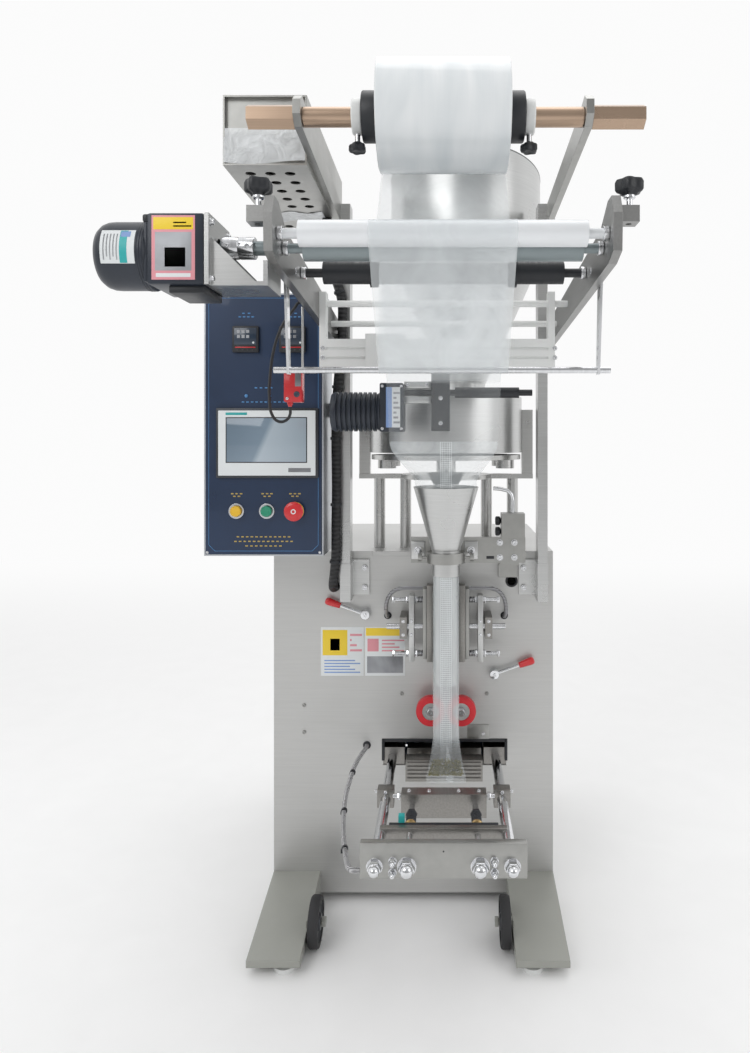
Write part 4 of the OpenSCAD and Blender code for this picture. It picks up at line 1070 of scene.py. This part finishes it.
# ---------- date coder ----------
def make_coder():
    lo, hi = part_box("coder_motor")
    c = at(0, -200, 1046)
    x0 = lo.x
    coder = Piece("coder_drive")
    shape = [(0, 0), (28, 0), (34, 1.5), (36, 5)]
    for i in range(9):
        s = 7 + i * 9
        shape += [(37, s), (37, s + 5), (33.5, s + 6), (33.5, s + 8)]
    shape += [(36, 90), (36, 93), (0, 93)]
    coder.lathe(mm(shape), Vector((x0, c.y, c.z)), X, MOTOR, 56)
    x = x0 + 93 * MM
    coder.block((x, c.y - 36 * MM, at(0, 0, 1008).z), (x + 44 * MM, c.y + 36 * MM, at(0, 0, 1098).z), MOTOR,
                0.003)
    front = c.y - 36 * MM
    sticker(coder, (x + 12 * MM, front - 0.0004, at(0, 0, 1016).z), (x + 38 * MM, front, at(0, 0, 1090).z),
            [(0.0, 0.0, 0.42, 1.0, LABEL_BLUE)] + bars(0.52, 0.98, 0.1, 0.95, 7, LABEL_GREY))
    for dz in (1014, 1092):
        for dx in (5, 40):
            coder.cap_screw(Vector((x + dx * MM, front, at(0, 0, dz).z)), -Y, 2 * MM)
    y0, y1 = c.y - 16 * MM, c.y + 16 * MM
    z0, z1 = at(0, 0, 1062).z, hi.z
    coder.block((x + 44 * MM, y0, z1 - 13 * MM), (hi.x, y1, z1 + 0 * MM), STEEL, 0.001)
    coder.block((x + 44 * MM, y0, z0), (hi.x, y1, z0 + 12 * MM), STEEL, 0.001)
    for dx in (50, 86):
        coder.cap_screw(Vector((x + dx * MM, y0, z1 - 6 * MM)), -Y, 2.2 * MM)
    coder.done("root", "motor_black", ["coder_motor"])
    plate_lo, plate_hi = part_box("coder_plate")
    screws = Piece("coder_plate_screws")
    for dz in (14, 60):
        screws.cap_screw(Vector(((plate_lo.x + plate_hi.x) / 2, at(0, -230, 0).y, plate_lo.z + dz * MM)), -Y,
                         3 * MM)
    screws.done("root", "chrome")


# ---------- hopper, columns and frame ----------
def make_hopper_rim():
    """A dark tube that follows the hopper's sloping mouth, for the dark line along its rim."""
    lo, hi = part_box("hopper")
    c, r = (lo + hi) / 2, (hi.x - lo.x) / 2 - 1 * MM
    side_z, slope = at(0, 0, 1578).z, math.tan(math.radians(11))
    points = []
    for k in range(96):
        a = math.tau * k / 96
        y = r * math.sin(a)
        points.append((c.x + r * math.cos(a), c.y + y, side_z - y * slope - 1.6 * MM))
    Piece("hopper_rim").tube(points, 1.5 * MM, DARK, 8, True).done("root", "stainless")


def make_frame_fittings():
    """Nuts, screws and washers that hold the frame together."""
    fit = Piece("frame_fittings")
    washer = mm([(0, 0), (11, 0), (11, 1.4), (0, 1.4)])
    for side in SIDES:
        face = at(FRAME_X + side * 236, 0, 0).x
        for y, z in ((-250, 1240), (-120, 1224), (-28, 1212), (-28, 1230)):
            place = Vector((face, at(0, y, 0).y, z * MM))
            fit.lathe(washer, place, X * side, CHROME, 24)
            fit.nut(place + X * side * 1.4 * MM, X * side, 13 * MM, 7 * MM, CHROME)
        post = at(FRAME_X + side * 206, 0, 0).x
        for z in (678, 720):
            fit.cap_screw(Vector((post - side * 36 * MM, at(0, -11, 0).y, z * MM)), -Y, 4.4 * MM)
        for z in (1456, 1474):
            fit.nut(Vector((post + side * 22 * MM, at(0, -28, 0).y, z * MM)), X * side, 12 * MM, 6 * MM,
                    CHROME)
        hanger = at(FRAME_X - 9 + side * 209, 0, 0).x
        for z in (1141, 1158):
            fit.cap_screw(Vector((hanger, at(0, -262, 0).y, z * MM)), -Y, 3 * MM)
    fit.done("root", "chrome")


def make_roller_hubs():
    """Hubs at the rollers' ends and guide rings on the rubber one, all on the rollers' own bodies."""
    hub = mm([(7.1, 0), (9.5, 0), (10, 0.6), (10, 6.4), (9.5, 7), (7.1, 7)])
    ring = mm([(17.6, -6), (21.6, -6), (22.4, -5), (22.4, 5), (21.6, 6), (17.6, 6)])
    for node in ("front_roller", "driven_roller", "rubber_roller"):
        c = middle(node)
        hubs = Piece(node + "_hubs")
        for side in SIDES:
            hubs.lathe(hub, Vector((at(FRAME_X + side * 223, 0, 0).x, c.y, c.z)), -X * side, CHROME_X, 32)
        if node == "rubber_roller":
            for side in SIDES:
                hubs.lathe(ring, Vector((at(FRAME_X + side * 109, 0, 0).x, c.y, c.z)), X, WHITE, 48)
        hubs.done(node, "chrome")


def make_cabinet_details():
    front = at(0, 0, 0).y
    piece = Piece("cabinet_fittings")
    for x, z in ((-305, 365), (-305, 423), (-95, 448), (88, 448)):
        piece.cap_screw(at(x, 0, z), -Y, 3.2 * MM, SATIN)
    ring = [(9.4, 0), (13, 0), (13.4, 0.6), (12.6, 1.6), (10, 2), (9.4, 1.6), (9.4, 0)]
    piece.lathe(mm(ring), at(141, 0, 690), -Y, BLACK, 40)
    for x, z, r in ((-125, 616, 4.2), (125, 616, 4.2), (-170, 337, 4.7)):
        shape = [(r, 0), (r + 3.6, 0), (r + 3.9, 0.7), (r + 2.6, 2), (r + 0.4, 2.6), (r, 2)]
        piece.lathe(mm(shape), at(x, 0, z), -Y, BLACK, 32)
    piece.block(at(46, -1.4, 348), at(92, 0, 382), SATIN, 0.0006)
    piece.cap_screw(at(80, -1.4, 362), -Y, 2.6 * MM)
    # black strips along the top and the sides of the jaw recess
    x0, x1, z0, z1 = -135, 129, 294, 348
    for lo, hi in (((x0, -1.6, z1 - 4), (x1, 0.4, z1 + 3)), ((x0 - 3, -1.6, z0 + 10), (x0 + 3, 0.4, z1 + 3)),
                   ((x1 - 3, -1.6, z0 + 10), (x1 + 3, 0.4, z1 + 3))):
        piece.block(at(*lo), at(*hi), BLACK, 0.0007)
    piece.done("root", "stainless")
    labels = Piece("cabinet_stickers")
    lines = bars(0.08, 0.92, 0.06, 0.36, 5, LABEL_BLUE)
    sticker(labels, at(-269, -0.4, 486), at(-177, 0, 591),
            [(0.04, 0.42, 0.62, 0.94, LABEL_YELLOW), (0.22, 0.52, 0.44, 0.76, LABEL_GREY)] + lines
            + bars(0.68, 0.96, 0.5, 0.92, 4, LABEL_PINK))
    sticker(labels, at(-174, -0.4, 486), at(-88, 0, 591),
            [(0.02, 0.82, 0.98, 0.98, LABEL_YELLOW), (0.05, 0.06, 0.95, 0.4, LABEL_GREY),
             (0.06, 0.5, 0.34, 0.76, LABEL_PINK)] + bars(0.42, 0.98, 0.5, 0.78, 4, LABEL_PINK))
    labels.done("root", "screen")


def make_clamp_details():
    """Screws, clamping strip and slot of the plate behind the collar, the slot as a black strip of painted
    shade, and the knobs of its box.
    """
    clamp = Piece("collar_clamp_fittings")
    z0, z1 = at(0, 0, 738).z, at(0, 0, 791).z
    face = at(0, TUBE_Y, 0).y + 36 * MM
    for x in (-58, 52):
        clamp.block((at(x - 14, 0, 0).x, face - 5 * MM, z0 + 8 * MM), (at(x + 14, 0, 0).x, face, z1 - 8 * MM),
                    STEEL, 0.001)
        clamp.cap_screw(Vector((at(x, 0, 0).x, face - 5 * MM, (z0 + z1) / 2)), -Y, 6 * MM)
    for x in (112, 142):
        for z in (z0 + 11 * MM, z1 - 11 * MM):
            clamp.cap_screw(Vector((at(x, 0, 0).x, face, z)), -Y, 5 * MM)
    # the slot is a thin black strip on the plate's face: painted shade
    clamp.block((at(84, 0, 0).x, face - 0.6 * MM, z0 + 8 * MM), (at(100, 0, 0).x, face, z0 + 14 * MM), BLACK,
                0.0004)
    for z in (804, 826):
        start = Vector((at(114, 0, 0).x, face - 4 * MM, z * MM))
        lobed_knob(clamp, start, -X, 9 * MM, 12 * MM)
    # bent tube that rises from the box
    path = [(138, -60, 842), (138, -60, 868), (136, -60, 880), (128, -60, 888), (112, -60, 892),
            (98, -60, 893)]
    clamp.tube([at(*p) for p in path], 4 * MM, CHROME, 16)
    clamp.done("root", "stainless")


def make_peeling_film():
    """White protective film, half peeled, over the upper box's front and the back of its floor."""
    lo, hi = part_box("upper_box")
    peel = Piece("peeling_film")
    rows = []
    for i in range(9):
        t = i / 8
        row = []
        for k in range(25):
            u = k / 24
            x = mix(lo.x + 1 * MM, hi.x - 3 * MM, u)
            z = mix(lo.z + 62 * MM, lo.z + 5 * MM - 3 * MM * math.sin(5 * u), t)
            y = lo.y - (0.3 + 1.1 * (1 - math.cos(3 * u + 4 * t)) * 0.5) * MM
            row.append((x, y + 0.6 * MM, z))
        rows.append(row)
    peel.grid(rows, PEEL)
    rows = []
    for i in range(7):
        t = i / 6
        rows.append([(mix(lo.x + 12 * MM, hi.x - 16 * MM, k / 12),
                      lo.y + (255 + 60 * t + 7 * math.sin(k * 0.9)) * MM,
                      lo.z - (0.6 + 0.9 * abs(math.sin(k * 1.1 + t * 3)) * (1 - t)) * MM) for k in range(13)])
    peel.grid(rows, PEEL)
    peel.done("root", "film", smooth=60)


# ---------- sealers and draw rollers ----------
def coil(piece, start, end, radius, turns, wire, material):
    """A compression spring between two points."""
    start, end = Vector(start), Vector(end)
    axis = (end - start).normalized()
    u = axis.orthogonal().normalized()
    v = axis.cross(u)
    count = int(turns * 12)
    points = [mix(start, end, i / count) + radius * (math.cos(math.tau * turns * i / count) * u
                                                     + math.sin(math.tau * turns * i / count) * v)
              for i in range(count + 1)]
    piece.tube(points, wire, material, 6)


def make_sealers():
    for side, word in zip(SIDES, ("left", "right")):
        node = "sealer_" + word
        lo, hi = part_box(node)
        y0, y1 = lo.y, hi.y
        inner = hi.x if side < 0 else lo.x

        def x(mm):
            return inner + side * mm * MM

        def slab(a, b, z0, z1, material):
            piece.block((min(x(a), x(b)), y0, z0), (max(x(a), x(b)), y1, z1), material, 0.0012)

        piece = Piece(node + "_unit")
        slab(0, 6, lo.z, hi.z, CHROME)
        slab(6, 20, lo.z + 4 * MM, hi.z - 3 * MM, HARD)
        slab(20, 28, lo.z + 10 * MM, hi.z - 10 * MM, SATIN)
        slab(46, 57, lo.z + 4 * MM, hi.z - 24 * MM, STEEL)
        for z in (548, 660):
            place = (at(0, -46, 0).y, z * MM)
            piece.rod((x(28), *place), (x(92), *place), 4.2 * MM, CHROME_X)
            piece.nut(Vector((x(86), *place)), X * side, 12 * MM, 6 * MM, CHROME_X)
            piece.nut(Vector((x(57), *place)), X * side, 13 * MM, 6 * MM, CHROME_X)
            piece.nut(Vector((x(40), *place)), X * side, 13 * MM, 6 * MM, CHROME_X)
            coil(piece, (x(28), *place), (x(40), *place), 6 * MM, 4, 0.8 * MM, DARK)
        place = (at(0, -46, 0).y, 604 * MM)
        piece.rod((x(28), *place), (x(104), *place), 6 * MM, CHROME_X)
        for z in (590, 618):
            piece.cap_screw(Vector((x(51.5), y0, z * MM)), -Y, 2.4 * MM)
        piece.done(node, "stainless", [node])
    guides = Piece("sealer_guide_screws")
    lo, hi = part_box("sealer_guides")
    for side in SIDES:
        for z in (590, 618):
            guides.cap_screw(Vector((at(side * 88.5, 0, 0).x, lo.y, z * MM)), -Y, 2.6 * MM)
    guides.done("root", "chrome")


def make_draw_rollers():
    for side, word in zip(SIDES, ("left", "right")):
        node = "draw_roller_" + word
        lo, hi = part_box(node)
        c = Vector(((lo.x + hi.x) / 2, 0, (lo.z + hi.z) / 2))
        y = at(0, -52, 0).y
        piece = Piece(node + "_wheel")
        tyre = [(18, 0), (29, 0), (30.6, 1), (31, 2.4), (31, 15.6), (30.6, 17), (29, 18), (18, 18), (18, 0)]
        hub = [(6, 1.6), (17.8, 1.2), (17.9, 17), (6, 17), (6, 1.6)]
        for shape, material in ((tyre, RED_RUBBER), (hub, STEEL)):
            piece.lathe(mm(shape), Vector((c.x, y, c.z)), Y, material, 64)
        piece.rod((c.x, y - 2 * MM, c.z), (c.x, at(0, 60, 0).y, c.z), 6 * MM, CHROME)
        piece.lathe(mm([(0, 0), (9.6, 0), (9.6, 1.4), (0, 1.4)]), Vector((c.x, y + 0.4 * MM, c.z)), -Y,
                    CHROME, 28)
        piece.nut(Vector((c.x, y - 1 * MM, c.z)), -Y, 13 * MM, 4.4 * MM, CHROME, 2 * MM)
        # the drive gear behind the sheet
        gear = at(0, 46, 0).y
        piece.lathe(mm([(6, 0), (28.4, 0), (28.4, 12), (6, 12)]), Vector((c.x, gear, c.z)), -Y, HARD, 60)
        for k in range(20):
            a = math.tau * k / 20 + (math.pi / 20 if side > 0 else 0)
            turn = Matrix.Rotation(-a, 4, "Y")
            tooth = Vector((c.x + 30.2 * MM * math.cos(a), gear - 6 * MM, c.z + 30.2 * MM * math.sin(a)))
            size = Vector((2.0, 6, 1.5)) * MM
            piece.block(tooth - size, tooth + size, HARD, 0.0004, turn)
        piece.done("draw_" + word, "red_rubber", [node])


# ---------- jaws ----------
def make_jaw_carriage():
    lo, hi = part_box("jaw_carriage")
    z = at(0, 0, 308).z
    mid = (lo.x + hi.x) / 2
    plate = at(0, -405, 0).y
    back = plate + 15 * MM
    line = Vector((mid, FRONT_Y * MM, z))
    piece = Piece("jaw_carriage_unit")
    piece.block((lo.x, plate, z - 20 * MM), (hi.x, back, z + 37 * MM), SATIN, 0.0015)
    for side in SIDES:
        x = mid + side * 111 * MM
        piece.rod((x, back - 2 * MM, z), (x, at(0, 150, 0).y, z), 10 * MM, CHROME, 40)
        # shaft collar against the plate's back
        piece.lathe(mm([(10, 0), (13.4, 0), (14, 0.8), (14, 9), (10, 10)]), Vector((x, back, z)), Y, CHROME,
                    36)
        acorn(piece, Vector((x, plate, z)), 20.8, 22)
        acorn(piece, Vector((mid + side * 59 * MM, plate, z)), 24.0, 22)
        acorn(piece, Vector((mid + side * 82 * MM, plate, z + 9 * MM)), 10.5, 15)
        acorn(piece, Vector((mid + side * 82 * MM, plate, z - 9 * MM)), 10.5, 15)
        pin = mid + side * 59 * MM
        piece.rod((pin, back, z), (pin, at(0, -209, 0).y, z), 5.6 * MM, CHROME, 24)
        piece.lathe([(r * MM, h * MM) for r, h in ((0, 0), (10.4, 0), (11, 1), (11, 13), (9, 15), (0, 15))],
                    Vector((pin, at(0, -290, 0).y, z)), Y, BRASS, 32)
        coil(piece, (pin, at(0, -275, 0).y, z), (pin, at(0, -242, 0).y, z), 8.2 * MM, 6, 1.3 * MM, DARK)
        piece.nut(Vector((pin, at(0, -242, 0).y, z)), Y, 18 * MM, 7 * MM, DARK)
        piece.blocks(line, [((side * 111 - 16, -186, -15), (side * 111 + 16, -162, 20), HARD, 0.0015)])
        piece.rod((x + side * 15 * MM, at(0, -174, 0).y, z + 12 * MM),
                  (x + side * 21.6 * MM, at(0, -174, 0).y, z + 12 * MM), 3.4 * MM, CHROME_X)
        piece.cap_screw(Vector((x, at(0, -186, 0).y, z + 15 * MM)), -Y, 2.6 * MM)
    piece.blocks(line, [((-111, -312, -10), (111, -298, 12), HARD, 0.0012),
                        # the black strip behind the hard bar is painted shade, the shadowed gap between the two
                        # plates
                        ((-96, -298, 6), (96, -290, 12), BLACK, 0.0008),
                        ((-80, -292, 2), (-69, -280, 24), TEAL, 0.001)])
    piece.rod((mid, plate + 0.6 * MM, z + 24 * MM), (mid, plate - 0.1 * MM, z + 24 * MM), 1.6 * MM, DARK)
    piece.done("jaw_carriage", "jaw_steel", ["jaw_carriage"])
    jaw = Piece("front_jaw_fittings")
    jlo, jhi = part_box("front_jaw")
    for side in SIDES:
        for offset in (28, 66):
            jaw.cap_screw(Vector((mid + side * offset * MM, jlo.y + 15 * MM, jhi.z - 0.6 * MM)), Z, 3 * MM)
        pin = Vector((mid, jlo.y + 12 * MM, z + 14 * MM))
        jaw.rod(off(pin, side * 80), off(pin, side * 96), 4 * MM, CHROME_X)
        jaw.nut(off(pin, side * 82), X * side, 13 * MM, 6 * MM, CHROME_X)
    jaw.done("jaw_carriage", "chrome")


def acorn(piece, base, across, height):
    """A domed cap nut on its washer, facing the front."""
    r = across / 2
    washer = r * 1.3
    piece.lathe(mm([(0, 0), (washer, 0), (washer, 1.6), (0, 1.6)]), base, -Y, CHROME, 32)
    piece.nut(base - Y * 1.6 * MM, -Y, across * MM, height * 0.5 * MM, CHROME)
    dome = [(r * 0.86 * math.cos(a), height * 0.5 + 1.6 + r * 0.2 + (height * 0.5 - r * 0.2) * math.sin(a))
            for a in (math.pi / 2 * i / 8 for i in range(9))]
    dome[-1] = (0, dome[-1][1])
    shape = [(0, height * 0.4), (r * 0.86, height * 0.4)] + dome
    piece.lathe(mm(shape), base, -Y, CHROME, 32)


# ---------- levers and wheels ----------
def make_levers():
    for word, x, z in (("left", -172, 621), ("right", 103, 494)):
        node = "lever_" + word
        pivot = at(x, 0, z)
        c = middle(node)
        away = Vector((c.x - pivot.x, 0, c.z - pivot.z)).normalized()
        piece = Piece(node + "_handle")
        hub = [(0, 0), (8, 0), (10.6, 1), (11, 3), (11, 17), (9.4, 20), (4, 20.5), (0, 20.5)]
        piece.lathe(mm(hub), pivot - Y * 0.3 * MM, -Y, CHROME, 40)
        piece.rod(pivot - Y * 0.3 * MM, pivot + Y * 13.7 * MM, 6 * MM, CHROME)
        piece.cap_screw(pivot - Y * 20 * MM, -Y, 3.2 * MM)
        axis = pivot - Y * 14 * MM
        stem = [(0, 6), (4.4, 6), (4, 14), (3.4, 56), (3.4, 60), (0, 60)]
        piece.lathe(mm(stem), axis, away, CHROME, 28)
        grip = [(0, 56), (5.4, 56), (6.2, 57), (6.6, 62), (7.9, 80), (8, 84), (7, 88), (4.4, 90), (0, 90)]
        piece.lathe(mm(grip), axis, away, RED, 32)
        piece.done(node, "red", [node])


def make_wheels():
    for word in ("left", "right"):
        node = "wheel_" + word
        lo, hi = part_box(node)
        c = middle(node)
        half, r = (hi.x - lo.x) / 2 / MM, (hi.z - lo.z) / 2 / MM
        piece = Piece(node + "_tyre")
        tyre = [(r - 10, -half + 1), (r - 2, -half + 1), (r, -half + 4), (r, half - 4), (r - 2, half - 1),
                (r - 10, half - 1), (r - 10, -half + 1)]
        hub = [(6.1, -half), (14, -half), (15, -half + 1), (16, -half + 5), (r - 14, -half + 6),
               (r - 10, -half + 3),
               (r - 10, half - 3), (r - 14, half - 6), (16, half - 5), (15, half - 1), (14, half),
               (6.1, half),
               (6.1, -half)]
        for shape, material in ((tyre, TYRE), (hub, DARK)):
            piece.lathe(mm(shape), c, X, material, 56)
        piece.done(node, "rubber", [node])


make_film_roll()
make_chucks()
make_pressure_knobs()
make_film_motor()
make_panel()
make_screen()
make_controllers()
make_buttons()
make_sensor()
make_coder()
make_hopper_rim()
make_frame_fittings()
make_roller_hubs()
make_cabinet_details()
make_clamp_details()
make_peeling_film()
make_sealers()
make_draw_rollers()
make_jaw_carriage()
make_levers()
make_wheels()
